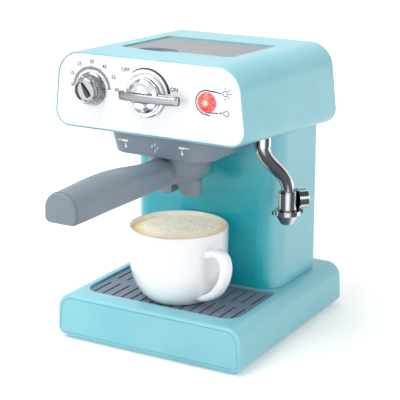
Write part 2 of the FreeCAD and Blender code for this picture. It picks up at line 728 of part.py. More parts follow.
def build_controls():
    panel_face = value("head_front") + 0.5
    level_z = value("control_level")
    timer_x, lamp_x = value("timer_across"), value("lamp_across")

    knob = front_turned("timer_knob", [
        (0, 0.4), ("timer_radius", 0.4), ("timer_radius", 2), ("timer_radius - 1.6", 2.8),
        ("timer_radius - 2.6", "timer_long - 1"), ("timer_radius - 3.6", "timer_long"),
        (0, "timer_long")])
    flute = sketch_on(knob, "XY", "timer_long + 1")
    circle(flute, "timer_radius - 0.9", 0, 1.5)
    cut = pocket(knob, flute, "timer_long - 2")
    polar(knob, cut, 18)
    grip = sketch_on(knob, "XY", "timer_long + 1")
    outline(grip, [(-9, -1.3), (9, -1.3), (9, 1.3), (-9, 1.3)], 1.2)
    pocket(knob, grip, 2.4)
    bore = sketch_on(knob, "XY", 0)
    circle(bore, 0, 0, "spindle_radius")
    pocket(knob, bore, "timer_long - 4", Reversed=True)
    knob.Placement = Placement(Vector(timer_x, panel_face, level_z),
                               Rotation(Vector(1, 0, 0), 90)
                               * Rotation(Vector(0, 0, 1), 120))
    keep(cylinder("timer_spindle", "spindle_radius", "timer_long + 3",
                  Vector(timer_x, panel_face + 9.8, level_z), Vector(0, -1, 0)))

    ring = front_turned("power_ring", [
        (0, 0.4), ("power_radius", 0.4), ("power_radius", 2.6), ("power_radius - 1", 3.4),
        ("power_radius - 2.2", 3.4), ("power_radius - 2.6", 5.4), (0, 5.4)])
    bore = sketch_on(ring, "XY", 0)
    circle(bore, 0, 0, "spindle_radius + 1")
    pocket(ring, bore, 3.4, Reversed=True)
    face_front(ring, 0, panel_face, level_z)
    dome = new_body("power_dome")
    cap = sketch_on(dome, "XZ")
    outline(cap, [(0, 5.4), (14, 5.4), (13.6, 7.4), (12, 9.6), (9, 11.4), (5, 12.6), (0, 13)])
    turned(dome, cap)
    notch = sketch_on(dome, "XY", 20)
    rectangle(notch, -30, 30, -4.2, 4.2)
    pocket(dome, notch, 10.4)
    face_front(dome, 0, panel_face, level_z)

    lever = new_body("power_lever")
    side = sketch_on(lever, "XZ")
    outline(side, [(-18.6, 6.2), (-16.6, 5.4), (-13, 9.6), (30, 9.6), (34.5, 5.2), (35.5, 6.4),
                   (33.6, 11), (29, 14), (-10, 14), (-16, 11.4)],
            [0.5, 0.5, 2, 3, 0.4, 0.4, 2, 5, 6, 3])
    pad(lever, side, 8, Midplane=True)
    dress(lever, "Fillet", lambda e: abs(abs(e.BoundBox.YMin) - 4) < 0.01
          and abs(e.BoundBox.YLength) < 0.01 and e.BoundBox.ZMax > 10, 0.8)
    face_front(lever, 0, panel_face, level_z)
    keep(cylinder("power_spindle", "spindle_radius + 1", 12.9,
                  Vector(0, panel_face + 9.8, level_z), Vector(0, -1, 0)))

    lamp = new_body("lamp_button")
    cap = sketch_on(lamp, "XZ")
    outline(cap, [(0, -4), ("lamp_radius + 1.4", -4), ("lamp_radius + 1.4", -2.5),
                  ("lamp_radius", -2.5), ("lamp_radius", 1.6), ("lamp_radius - 1.4", 2.6),
                  ("lamp_radius - 4", 3.1), (0, 3.3)])
    turned(lamp, cap)
    hollow = sketch_on(lamp, "XY", -4)
    circle(hollow, 0, 0, "lamp_radius - 1.6")
    pocket(lamp, hollow, 5.4, Reversed=True)
    face_front(lamp, lamp_x, panel_face, level_z)

    board = new_body("circuit_board")
    plate = sketch_on(board, "XZ", -(panel_face + 10.2))
    rectangle(plate, 30, 78, 202, 238, 1.5)
    pad(board, plate, 1.6, Reversed=True)
    chip = sketch_on(board, "XZ", -(panel_face + 11.8))
    rectangle(chip, 34, 46, 224, 234, 0)
    pad(board, chip, 2, Reversed=True)
    touch = new_body("lamp_switch")
    case = sketch_on(touch, "XZ", -(panel_face + 10.15))
    rectangle(case, "lamp_across - 3", "lamp_across + 3", "control_level - 11.5",
              "control_level - 5.5")
    pad(touch, case, 3.4)
    plunger = sketch_on(touch, "XZ", -(panel_face + 6.75))
    circle(plunger, "lamp_across", "control_level - 8", 1.2)
    pad(touch, plunger, "2.55 - lamp_travel")
    led = new_body("light_led")
    bulb = sketch_on(led, "XZ")
    outline(bulb, [(0, -10.1), (2.9, -10.1), (2.9, -9.1), (2.5, -9.1), (2.5, -5.4),
                   (1.8, -3.7), (0, -3)])
    turned(led, bulb)
    face_front(led, lamp_x, panel_face, level_z)

    clock = new_body("timer_clockwork")
    can = sketch_on(clock, "XZ", -(panel_face + 2.42))
    circle(can, "timer_across", "control_level", 15)
    pad(clock, can, 14, Reversed=True)
    bore = sketch_on(clock, "XZ", -(panel_face + 2.42))
    circle(bore, "timer_across", "control_level", "spindle_radius + 0.06")
    pocket(clock, bore, 8)
    switch = new_body("power_switch")
    can = sketch_on(switch, "XZ", -(panel_face + 2.42))
    rectangle(can, -13, 13, "control_level - 13", "control_level + 13", 2)
    pad(switch, can, 12, Reversed=True)
    bore = sketch_on(switch, "XZ", -(panel_face + 2.42))
    circle(bore, 0, "control_level", "spindle_radius + 1.06")
    pocket(switch, bore, 8)


# --------------------------------------------------------- portafilter
def build_group():
    housing = new_body("group_housing")
    low = sketch_on(housing, "XY", "group_low")
    rectangle(low, "-group_half_low", "group_half_low", "group_front", 20)
    flared = pad(housing, low, 20)
    spread = value("group_half_top - group_half_low") / 20
    flared.TaperAngle = math.degrees(math.atan(spread))
    dress(housing, "Fillet", lambda e: e.BoundBox.ZLength > 19 and e.BoundBox.YMax < 0,
          "group_corner")
    rear = sketch_on(housing, "YZ")
    rectangle(rear, "tray_back - 0.2", 60, "group_low - 5", "group_low + 25")
    pocket(housing, rear, Midplane=True)
    floor = value("group_low")
    dress(housing, "Fillet", lambda e: level(e, floor) and e.BoundBox.YMax < -4, 1.6)
    room = sketch_on(housing, "XY", "group_low + 20")
    rectangle(room, "-group_half_low + 3", "group_half_low - 3", "group_front + 3",
              "tray_back - 3", ["group_corner - 3", "group_corner - 3", 2, 2])
    circle(room, 0, "group_axis", "lug_bore + 2.2")
    pocket(housing, room, 16)
    ring = sketch_on(housing, "XY", "group_low")
    circle(ring, 0, "group_axis", "ring_bore")
    pocket(housing, ring, 15, Reversed=True)
    track = sketch_on(housing, "XY", "group_low + 15")
    circle(track, 0, "group_axis", "lug_bore")
    pocket(housing, track, 11)
    gates = sketch_on(housing, "XY", "group_low")
    lug_gates(gates)
    pocket(housing, gates, 6, Reversed=True)
    feed = sketch_on(housing, "XY", "group_low + 20")
    circle(feed, 0, "group_axis", 4)
    pocket(housing, feed, 8)

    rose = new_body("shower_plate")
    disc = sketch_on(rose, "XY", "group_low + 12.5")
    circle(disc, 0, "group_axis", 22)
    pad(rose, disc, 2.5)
    hole = sketch_on(rose, "XY", "group_low + 12.5")
    circle(hole, 12, "group_axis", 1.3)
    first = pocket(rose, hole, Reversed=True)
    centre = sketch_on(rose, "XY", "group_low + 12.5")
    circle(centre, 0, "group_axis", 1.3)
    pocket(rose, centre, Reversed=True)


def lug_gates(sketch):
    """Four gaps in the retaining ring, where the lugs pass at either end of the swing."""
    for quarter in range(4):
        angle = math.radians(45 + 90 * quarter)
        ahead, aside = Vector(math.cos(angle), math.sin(angle)), None
        aside = Vector(-ahead.y, ahead.x)
        centre = Vector(0, value("group_axis"))
        spots = [centre + ahead * r + aside * w
                 for r, w in ((20, -8.6), (28.2, -8.6), (28.2, 8.6), (20, 8.6))]
        outline(sketch, [(p.x, p.y) for p in spots])


def handle_section(body, y, half, low, high):
    """An arch: nearly flat below, fully rounded above."""
    sketch = sketch_on(body, "XZ", -y)
    outline(sketch, [(-half, low), (half, low), (half, high), (-half, high)],
            [4.5, 4.5, half - 0.6, half - 0.6])
    return sketch


def build_portafilter():
    bowl = new_body("portafilter_bowl")
    wall = sketch_on(bowl, "XZ")
    outline(wall, [(0, 141.5), (19, 141.5), (20.5, 143), ("bowl_radius - 3.4", 146.5),
                   ("bowl_radius - 2", 149), ("bowl_radius", 163), ("bowl_radius", 165.6),
                   ("ring_bore - 0.3", 165.6), ("ring_bore - 0.3", 175.5), (0, 175.5)])
    turned(bowl, wall)
    lugs = sketch_on(bowl, "XY", 170.4)
    for side in (-1, 1):
        rectangle(lugs, min(side * 20, side * 27.2), max(side * 20, side * 27.2), -6.5, 6.5, 0)
    pad(bowl, lugs, 3)
    basket = sketch_on(bowl, "XY", 175.5)
    circle(basket, 0, 0, 22.6)
    pocket(bowl, basket, 27)
    drains = sketch_on(bowl, "XY", 141.5)
    for side in (-1, 1):
        circle(drains, "%d * spout_half" % side, 0, 2.6)
    pocket(bowl, drains, 12, Reversed=True)
    seat = sketch_on(bowl, "XZ", 24.2)
    circle(seat, 0, "handle_axis", "neck_radius")
    pocket(bowl, seat, 6, Reversed=True)
    dress(bowl, "Fillet", lambda e: level(e, 175.5) and e.BoundBox.XLength > 50, 0.6)
    bowl.Placement.Base = Vector(0, value("group_axis"), 0)

    spout = new_body("twin_spout")
    plan = sketch_on(spout, "XY", 141.5)
    rectangle(plan, "-spout_half - spout_radius", "spout_half + spout_radius",
              "-spout_radius", "spout_radius", "spout_radius - 0.2")
    pad(spout, plan, "141.5 - spout_tip", Reversed=True)
    arch = sketch_on(spout, "XZ")
    outline(arch, [(-7, 120), (7, 120), (4.6, 130), (3.6, 137), (-3.6, 137), (-4.6, 130)],
            [0, 0, 6, 3, 3, 6])
    pocket(spout, arch, Midplane=True)
    tip = value("spout_tip")
    dress(spout, "Chamfer", lambda e: level(e, tip), 1.8)
    bores = sketch_on(spout, "XY", "spout_tip")
    for side in (-1, 1):
        circle(bores, "%d * spout_half" % side, 0, 2.6)
    pocket(spout, bores, Reversed=True)
    spout.Placement.Base = Vector(0, value("group_axis"), 0)

    neck = new_body("handle_neck")
    root = sketch_on(neck, "XZ", 64.2)
    circle(root, 0, "handle_axis", "neck_radius")
    pad(neck, root, 23)

    grip = new_body("handle_grip")
    loft(grip, [handle_section(grip, -74, 11.6, 142.8, 165),
                handle_section(grip, -94, 11.8, 143, 165.3),
                handle_section(grip, -125, 12.6, 144, 169.2),
                handle_section(grip, -165, 13.6, 145, 171.6),
                handle_section(grip, value("handle_end"), 14, 145.6, 170)])
    cup = sketch_on(grip, "XZ", 74)
    outline(cup, [(-9.9, 144.5), (9.9, 144.5), (9.9, 163.4), (-9.9, 163.4)],
            [3, 3, 9.2, 9.2])
    pocket(grip, cup, 4, Reversed=True)
    bore = sketch_on(grip, "XZ", 74)
    circle(bore, 0, "handle_axis", "neck_radius")
    pocket(grip, bore, 13.3, Reversed=True)

    cap = new_body("handle_end_cap")
    end = value("handle_end")
    pad(cap, handle_section(cap, end, 13.6, 146, 169.6), 2.6)
    dress(cap, "Fillet", lambda e: across_y(e, end - 2.6), 1.4)


# ---------------------------------------------------------- steam wand
def build_wand():
    place = Placement(Vector(value("wand_across"), value("wand_axis"), 0),
                      Rotation(Vector(0, 0, 1), value("wand_yaw")))
    socket = new_body("wand_socket")
    ring = sketch_on(socket, "XY", 176)
    circle(ring, 0, 0, 7)
    pad(socket, ring, 13)
    rim = sketch_on(socket, "XY", 187.1)
    circle(rim, 0, 0, 8.3)
    pad(socket, rim, 1.9)
    bore = sketch_on(socket, "XY", 176)
    circle(bore, 0, 0, 4.08)
    pocket(socket, bore, 11, Reversed=True)
    socket.Placement.Base = place.Base

    pivot = new_body("wand_pivot")
    stem = sketch_on(pivot, "XZ")
    outline(stem, [(0, 170), (4, 170), (4, 185.8), (3, 186.6), (0, 186.6)])
    turned(pivot, stem)
    pivot.Placement = place

    rings = []
    middle = [(0, 175.8), (0.8, 171.5), (3.6, 166), (8.4, 160.2), (14, 154.6), (18.8, 148.6),
              (21.8, 142.2), (22.8, 136.4)]
    radii = [6.2, 6.15, 6.0, 5.85, 5.7, 5.5, 5.35, 5.2]
    for i, ((u, z), radius) in enumerate(zip(middle, radii)):
        low, high = max(i - 1, 0), min(i + 1, len(middle) - 1)
        along = Vector(middle[high][0] - middle[low][0], 0, middle[high][1] - middle[low][1])
        if i in (0, len(middle) - 1):
            along = Vector(0, 0, -1)
        rings.append(Part.Wire(Part.makeCircle(radius, Vector(u, 0, z), along)))
    arm = Part.makeLoft(rings, True, False)
    arm = arm.cut(Part.makeCylinder(4, 6, Vector(0, 0, 170)))
    shaped("wand_arm", arm, place)

    collar = new_body("wand_collar")
    body = sketch_on(collar, "XZ")
    outline(body, [(0, 120.3), (7.2, 120.3), (7.6, 121.1), (7.6, 135), (6.8, 136.4), (0, 136.4)])
    turned(collar, body)
    collar.Placement = place * Placement(Vector(22.8, 0, 0), Rotation())

    barrel = new_body("wand_barrel")
    side = sketch_on(barrel, "XZ")
    outline(side, [(0, 7.7), (8.6, 7.7), (8.6, 9), (7.8, 9.4), (7.8, 16), (6.8, 17), (0, 17)])
    turned(barrel, side)
    barrel.Placement = place * Placement(Vector(22.8, 0, 129), Rotation(Vector(0, 1, 0), 90))

    flange = new_body("wand_flange")
    disc = sketch_on(flange, "XY", 116.6)
    circle(disc, 0, 0, 10.8)
    pad(flange, disc, 3.7)
    tabs = sketch_on(flange, "XY", 117.2)
    rectangle(tabs, -13.2, 13.2, -2.6, 2.6, 0.8)
    pad(flange, tabs, 3)
    flange.Placement = place * Placement(Vector(22.8, 0, 0), Rotation())

    nozzle = new_body("wand_nozzle")
    cone = sketch_on(nozzle, "XZ")
    outline(cone, [(2, 108.4), (5.4, 108.4), (6, 109), (10.2, 116.6), (2, 116.6)])
    turned(nozzle, cone)
    nozzle.Placement = place * Placement(Vector(22.8, 0, 0), Rotation())


# ----------------------------------------------------------------- cup
def build_cup():
    cup = new_body("play_cup")
    outer = sketch_on(cup, "XZ")
    outline(outer, [(0, 0), (24, 0), (28.6, 1.8), (33.4, 7.4), (37.6, 14.6), (40.2, 22.4),
                    (41.5, 32), ("cup_radius - 0.2", 44), ("cup_radius", "cup_tall"),
                    (0, "cup_tall")])
    turned(cup, outer)
    ear = sketch_on(cup, "XZ")
    outline(ear, [(38, 50), (52, 56), (62, 54), (67.4, 45), (67, 34), (60, 20), (48, 9),
                  (34, 4), (30, 10), (45, 17), (54, 26), (59.6, 37), (59, 44), (54, 47),
                  (40, 44)],
            [0, 6, 8, 9, 14, 18, 14, 0, 0, 14, 16, 9, 6, 5, 0])
    pad(cup, ear, 12, Midplane=True)
    dress(cup, "Fillet", lambda e: abs(abs(e.BoundBox.YMin) - 6) < 0.01
          and e.BoundBox.YLength < 0.01 and e.BoundBox.XMax > 45, 2.4)
    inner = sketch_on(cup, "XZ")
    outline(inner, [(0, 3), (23, 3), (27, 4.4), (31.6, 9.6), (35.6, 16.4), (38.1, 23.6),
                    (39.4, 32.4), ("cup_radius - cup_wall - 0.2", 44),
                    ("cup_radius - cup_wall", "cup_tall + 0.1"), (0, "cup_tall + 0.1")])
    turned(cup, inner, "Groove")
    place = Placement(Vector(value("cup_across"), value("cup_axis"), value("grille_top") + 0.1),
                      Rotation(Vector(0, 0, 1), value("cup_yaw")))
    cup.Placement = place
    foam = new_body("foam_insert")
    disc = sketch_on(foam, "XZ")
    outline(disc, [(0, 55.2), (39.8, 55.2), (39.85, 56.8), (37.2, 57.6), (29.4, 58.4), (0, 58.8)])
    turned(foam, disc)
    foam.Placement = place


# ------------------------------------------------------- inner workings
def build_workings():
    pump = new_body("water_pump")
    motor = sketch_on(pump, "XY", "base_top")
    circle(motor, 0, 36, 12)
    pad(pump, motor, "70 - base_top")
    chamber = sketch_on(pump, "XY", 70)
    circle(chamber, 0, 36, 15)
    pad(pump, chamber, 11)
    ports = sketch_on(pump, "XY", 81)
    circle(ports, -8, 36, 2.4)
    circle(ports, 8, 36, 2.4)
    pad(pump, ports, 7)

    height, tilt = top_plane()
    port = Rotation(Vector(1, 0, 0), tilt).multVec(
        Vector(0, 12, -value("tank_deep") - 6)) + Vector(0, 0, height)
    shaped("suction_hose", tube([port - Vector(0, 0, 0.12), Vector(0, port.y, 182),
                                 Vector(-6, 24, 150), Vector(-8, 36, 112),
                                 Vector(-8, 36, 88)], 2.6))
    group_y = value("group_axis")
    shaped("delivery_hose", tube([Vector(8, 36, 88), Vector(8, 36, 118), Vector(13, 33, 150),
                                  Vector(14, 14, 185), Vector(12, -14, 195),
                                  Vector(0, group_y, 196), Vector(0, group_y, 186)], 2.4))

    speaker = new_body("speaker")
    frame = sketch_on(speaker, "XZ")
    outline(frame, [(0, 3), (17, 3), (17, 5), (13, 5.6), (8, 10), (8, 13), (0, 13)])
    turned(speaker, frame)
    speaker.Placement.Base = Vector(45, 52, 0)


build_base()
build_grille()
build_column()
build_head()
build_lid_and_tank()
build_controls()
build_group()
build_portafilter()
build_wand()
build_cup()
build_workings()
doc.recompute()

for item in doc.Objects:
    if "Invalid" in item.State or "Error" in item.State:
        raise RuntimeError("%s did not build: %s" % (item.Label, item.State))
os.makedirs("parts", exist_ok=True)
for part in PARTS:
    shape = part.Shape
    if shape.isNull() or not shape.isValid() or not shape.Solids:
        raise RuntimeError("%s has no valid solid" % part.Label)
    shape.exportStep("parts/%s.step" % part.Label)
    print("%-20s solids %d  volume %.0f" % (part.Label, len(shape.Solids), shape.Volume))
print("sub-parts:", len(PARTS))
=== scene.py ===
"""The looks of a toy coffee maker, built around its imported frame.

Metres, in the frame's own axes: +Z up, +X to the right, -Y to the front.
Sizes are written in millimetres and multiplied by MM.
"""
import math
import bmesh
import bpy
from mathutils import Matrix, Vector, noise


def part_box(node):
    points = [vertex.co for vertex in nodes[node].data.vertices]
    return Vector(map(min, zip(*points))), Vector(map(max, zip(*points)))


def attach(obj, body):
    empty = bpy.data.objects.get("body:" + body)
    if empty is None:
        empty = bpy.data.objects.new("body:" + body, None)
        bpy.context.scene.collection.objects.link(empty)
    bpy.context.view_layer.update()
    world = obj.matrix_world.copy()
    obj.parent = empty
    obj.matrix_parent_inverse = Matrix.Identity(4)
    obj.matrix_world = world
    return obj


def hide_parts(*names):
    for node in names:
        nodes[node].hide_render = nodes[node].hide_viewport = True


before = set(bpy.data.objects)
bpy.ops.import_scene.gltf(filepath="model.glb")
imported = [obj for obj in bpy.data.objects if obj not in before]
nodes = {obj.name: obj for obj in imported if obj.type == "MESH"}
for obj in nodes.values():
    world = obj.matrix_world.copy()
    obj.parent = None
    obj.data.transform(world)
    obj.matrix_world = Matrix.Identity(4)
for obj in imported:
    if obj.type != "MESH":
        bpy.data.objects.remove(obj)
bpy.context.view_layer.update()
scene = bpy.context.scene
MM = 0.001

# ---------------------------------------------------------------- camera
CAMERA_SPOT = Vector((546.4, -955.9, 432.4)) * MM
CAMERA_AZIMUTH, CAMERA_ELEVATION = math.radians(29.93), math.radians(16.26)
CAMERA_LENS = 118.7

camera_data = bpy.data.cameras.new("camera")
camera_data.lens, camera_data.sensor_width = CAMERA_LENS, 36
camera_data.clip_start, camera_data.clip_end = 0.05, 30
camera = bpy.data.objects.new("camera", camera_data)
scene.collection.objects.link(camera)
sight = Vector((-math.sin(CAMERA_AZIMUTH) * math.cos(CAMERA_ELEVATION),
                math.cos(CAMERA_AZIMUTH) * math.cos(CAMERA_ELEVATION),
                -math.sin(CAMERA_ELEVATION)))
camera.location = CAMERA_SPOT
camera.rotation_euler = sight.to_track_quat("-Z", "Y").to_euler()
scene.camera = camera
scene.view_settings.view_transform = "Standard"


# --------------------------------------------------------------- helpers
def linear(shade):
    """An sRGB hex colour as the linear colour that a socket takes."""
    def channel(pair):
        level = int(pair, 16) / 255
        return level / 12.92 if level <= 0.04045 else ((level + 0.055) / 1.055) ** 2.4
    return tuple(channel(shade[i:i + 2]) for i in (1, 3, 5)) + (1,)


def add(tree, kind, inputs=None, stops=None, **settings):
    """Adds one node. An input is a plain value, or the socket that feeds it."""
    made = tree.nodes.new(kind)
    for name, setting in settings.items():
        setattr(made, name, setting)
    for name, source in (inputs or {}).items():
        if isinstance(source, bpy.types.NodeSocket):
            tree.links.new(source, made.inputs[name])
        else:
            made.inputs[name].default_value = source
    if stops:
        ramp = made.color_ramp
        while len(ramp.elements) < len(stops):
            ramp.elements.new(1)
        for element, (spot, shade) in zip(ramp.elements, stops):
            element.position, element.color = spot, shade
    return made


def finish_named(name, colour, roughness, metallic=0.0, ior=1.5, **more):
    """A material with its shader's own sockets set; patterns are linked afterwards."""
    material = bpy.data.materials.new(name)
    material.use_nodes = True
    tree = material.node_tree
    tree.nodes.clear()
    shader = add(tree, "ShaderNodeBsdfPrincipled", {
        "Base Color": linear(colour), "Roughness": roughness, "Metallic": metallic,
        "IOR": ior, **{key.replace("_", " "): setting for key, setting in more.items()}})
    add(tree, "ShaderNodeOutputMaterial", {"Surface": shader.outputs["BSDF"]})
    return material, tree, shader


def link(tree, source, target):
    tree.links.new(source, target)


def put_on(name, mesh, body):
    """Makes an object of a finished mesh and lets it ride on a body."""
    made = bpy.data.objects.new(name, mesh)
    scene.collection.objects.link(made)
    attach(made, body)
    return made


def node_group(name, inputs, with_ground):
    """A Geometry Nodes tree with its named inputs; with_ground says it takes a geometry."""
    tree = bpy.data.node_groups.new(name, "GeometryNodeTree")
    if with_ground:
        tree.interface.new_socket("Geometry", in_out="INPUT", socket_type="NodeSocketGeometry")
    for label, kind in inputs:
        tree.interface.new_socket(label, in_out="INPUT", socket_type="NodeSocket" + kind)
    tree.interface.new_socket("Geometry", in_out="OUTPUT", socket_type="NodeSocketGeometry")
    return tree


def grown_mesh(name, tree, ground, values):
    """Runs a Geometry Nodes tree over a mesh and returns what it makes as a plain mesh."""
    holder = bpy.data.objects.new(name, ground)
    scene.collection.objects.link(holder)
    maker = holder.modifiers.new(name, "NODES")
    maker.node_group = tree
    for item in tree.interface.items_tree:
        if item.in_out == "INPUT" and item.name in values:
            maker[item.identifier] = values[item.name]
    graph = bpy.context.evaluated_depsgraph_get()
    mesh = bpy.data.meshes.new_from_object(holder.evaluated_get(graph))
    bpy.data.objects.remove(holder)
    return mesh


def seen_directly(tree):
    """1 for rays from the camera, from a reflection or through clear plastic, else 0."""
    rays = add(tree, "ShaderNodeLightPath").outputs
    seen = rays["Is Camera Ray"]
    for kind in ("Is Glossy Ray", "Is Transmission Ray"):
        seen = add(tree, "ShaderNodeMath", {0: seen, 1: rays[kind]},
                   operation="MAXIMUM").outputs["Value"]
    return seen


# ------------------------------------------------------------- materials
def moulded_plastic(name, colour, deeper, roughness, grain_mm, grain_depth_mm, **more):
    """Injection-moulded plastic: one colour that drifts a little along the flow of the
    melt, a skin texture from the mould, and gloss that varies with handling."""
    material, tree, shader = finish_named(name, colour, roughness, ior=1.53, **more)
    place = add(tree, "ShaderNodeTexCoord").outputs["Object"]
    drift = add(tree, "ShaderNodeTexNoise", {"Vector": place, "Scale": 1 / (55 * MM), "Detail": 2})
    tint = add(tree, "ShaderNodeValToRGB", {"Fac": drift.outputs["Fac"]},
               stops=[(0.3, linear(deeper)), (0.62, linear(colour))])
    link(tree, tint.outputs["Color"], shader.inputs["Base Color"])
    skin = add(tree, "ShaderNodeTexNoise", {"Vector": place, "Scale": 1 / (grain_mm * MM),
                                            "Detail": 1, "Roughness": 0.4})
    rub = add(tree, "ShaderNodeTexNoise", {"Vector": place, "Scale": 1 / (18 * MM), "Detail": 4})
    gloss = add(tree, "ShaderNodeMapRange", {"Value": rub.outputs["Fac"], "From Min": 0.3,
                                             "From Max": 0.7, "To Min": roughness * 0.96,
                                             "To Max": roughness * 1.05})
    link(tree, gloss.outputs["Result"], shader.inputs["Roughness"])
    bump = add(tree, "ShaderNodeBump", {"Height": skin.outputs["Fac"], "Strength": 1.0,
                                        "Distance": grain_depth_mm * MM})
    link(tree, bump.outputs["Normal"], shader.inputs["Normal"])
    return material


def plated_metal_painted_reflections(name, bright, dark, roughness, painted_reflection_bands, brushed=False):
    """Vacuum-plated plastic: a mirror skin whose base colour carries painted reflections, light and
    dark bands as the surface turns away, with the slight waviness of the moulding under it."""
    material, tree, shader = finish_named(name, bright, roughness, metallic=1.0)
    place = add(tree, "ShaderNodeTexCoord").outputs["Object"]
    weight = add(tree, "ShaderNodeLayerWeight", {"Blend": 0.5})
    # Painted reflections: the base colour turns light and dark with the facing angle.
    tint = add(tree, "ShaderNodeValToRGB", {"Fac": weight.outputs["Facing"]},
               stops=[(spot, linear(bright if light else dark)) for spot, light in painted_reflection_bands])
    link(tree, tint.outputs["Color"], shader.inputs["Base Color"])
    waves_per_metre = (40, 40, 900) if brushed else (45, 45, 45)
    lay = add(tree, "ShaderNodeMapping", {"Vector": place, "Scale": waves_per_metre})
    wave = add(tree, "ShaderNodeTexNoise", {"Vector": lay.outputs["Vector"], "Scale": 1.0,
                                            "Detail": 2})
    bump = add(tree, "ShaderNodeBump", {"Height": wave.outputs["Fac"], "Strength": 0.5,
                                        "Distance": 0.25 * MM})
    link(tree, bump.outputs["Normal"], shader.inputs["Normal"])
    return material


def glowing_lens(name, centre):
    """A red lens with a lamp behind it: white-hot at the middle, rays that break up the
    red, and a darker rim where the plastic is thick."""
    lens_reach, rays_round, ray_depth = 8.2 * MM, 9.0, 0.22
    material, tree, shader = finish_named(name, "#E5352C", 0.16, ior=1.49, Coat_Weight=0.6,
                                           Emission_Strength=0.6)
    place = add(tree, "ShaderNodeTexCoord").outputs["Object"]
    local = add(tree, "ShaderNodeVectorMath", {0: place, 1: tuple(centre)}, operation="SUBTRACT")
    flat = add(tree, "ShaderNodeVectorMath", {0: local.outputs["Vector"], 1: (1, 0, 1)},
               operation="MULTIPLY")
    reach = add(tree, "ShaderNodeVectorMath", {0: flat.outputs["Vector"]}, operation="LENGTH")
    parts = add(tree, "ShaderNodeSeparateXYZ", {"Vector": flat.outputs["Vector"]})
    turn = add(tree, "ShaderNodeMath", {0: parts.outputs["Z"], 1: parts.outputs["X"]},
               operation="ARCTAN2")
    ray = add(tree, "ShaderNodeMath", {0: turn.outputs["Value"], 1: rays_round},
              operation="MULTIPLY")
    spike = add(tree, "ShaderNodeMath", {0: ray.outputs["Value"]}, operation="SINE")
    swell = add(tree, "ShaderNodeMath", {0: spike.outputs["Value"], 1: ray_depth, 2: 1.0},
                operation="MULTIPLY_ADD")
    shaped = add(tree, "ShaderNodeMath", {0: reach.outputs["Value"], 1: swell.outputs["Value"]},
                 operation="MULTIPLY")
    share = add(tree, "ShaderNodeMath", {0: shaped.outputs["Value"], 1: 1 / lens_reach},
                operation="MULTIPLY")
    glow = add(tree, "ShaderNodeValToRGB", {"Fac": share.outputs["Value"]}, stops=[
        (0.0, linear("#FFF8EE")), (0.14, linear("#FFD2BC")), (0.3, linear("#EE5347")),
        (0.7, linear("#CF2F2C")), (1.0, linear("#E0605A"))])
    link(tree, glow.outputs["Color"], shader.inputs["Base Color"])
    link(tree, glow.outputs["Color"], shader.inputs["Emission Color"])
    return material


def milk_foam_painted_glow(name, middle, radius):
    """Frothed milk moulded in soft plastic: cream with a painted glow, an emission that lifts it as
    painted light, and a ragged caramel ring where the coffee shows at the rim."""
    ragged_width = 6 * MM
    # The emission is painted light: it brightens the froth that sits in the shade of the cup.
    material, tree, shader = finish_named(name, "#F3EBDD", 0.55, ior=1.4, Emission_Strength=0.28)
    shader.inputs["Emission Color"].default_value = linear("#F8E6CC")
    place = add(tree, "ShaderNodeTexCoord").outputs["Object"]
    shifted = add(tree, "ShaderNodeVectorMath", {0: place, 1: tuple(middle)}, operation="SUBTRACT")
    flat = add(tree, "ShaderNodeVectorMath", {0: shifted.outputs["Vector"], 1: (1, 1, 0)},
               operation="MULTIPLY")
    reach = add(tree, "ShaderNodeVectorMath", {0: flat.outputs["Vector"]}, operation="LENGTH")
    froth = add(tree, "ShaderNodeTexNoise", {"Vector": place, "Scale": 1 / (9 * MM), "Detail": 5})
    ragged = add(tree, "ShaderNodeMath", {0: froth.outputs["Fac"], 1: ragged_width,
                                            2: -ragged_width / 2},
                 operation="MULTIPLY_ADD")
    edge = add(tree, "ShaderNodeMath", {0: reach.outputs["Value"], 1: ragged.outputs["Value"]},
               operation="ADD")
    share = add(tree, "ShaderNodeMath", {0: edge.outputs["Value"], 1: 1 / radius},
                operation="MULTIPLY")
    ring = add(tree, "ShaderNodeValToRGB", {"Fac": share.outputs["Value"]}, stops=[
        (0.0, linear("#FBF4E8")), (0.76, linear("#F8EDDA")), (0.9, linear("#EBCB95")),
        (1.02, linear("#DDA152"))])
    link(tree, ring.outputs["Color"], shader.inputs["Base Color"])
    cells = add(tree, "ShaderNodeTexVoronoi", {"Vector": place, "Scale": 1 / (1.1 * MM)})
    bump = add(tree, "ShaderNodeBump", {"Height": cells.outputs["Distance"], "Strength": 0.6,
                                        "Distance": 0.25 * MM})
    link(tree, bump.outputs["Normal"], shader.inputs["Normal"])
    return material


def plain_ink(name, colour):
    """Pad-printed ink: flat and slightly less shiny than the plastic under it."""
    material, tree, shader = finish_named(name, colour, 0.45)
    place = add(tree, "ShaderNodeTexCoord").outputs["Object"]
    speck = add(tree, "ShaderNodeTexNoise", {"Vector": place, "Scale": 1 / (0.5 * MM),
                                             "Detail": 2})
    lift = add(tree, "ShaderNodeMapRange", {"Value": speck.outputs["Fac"], "From Min": 0.35,
                                            "From Max": 0.75, "To Min": 0.38, "To Max": 0.55})
    link(tree, lift.outputs["Result"], shader.inputs["Roughness"])
    return material


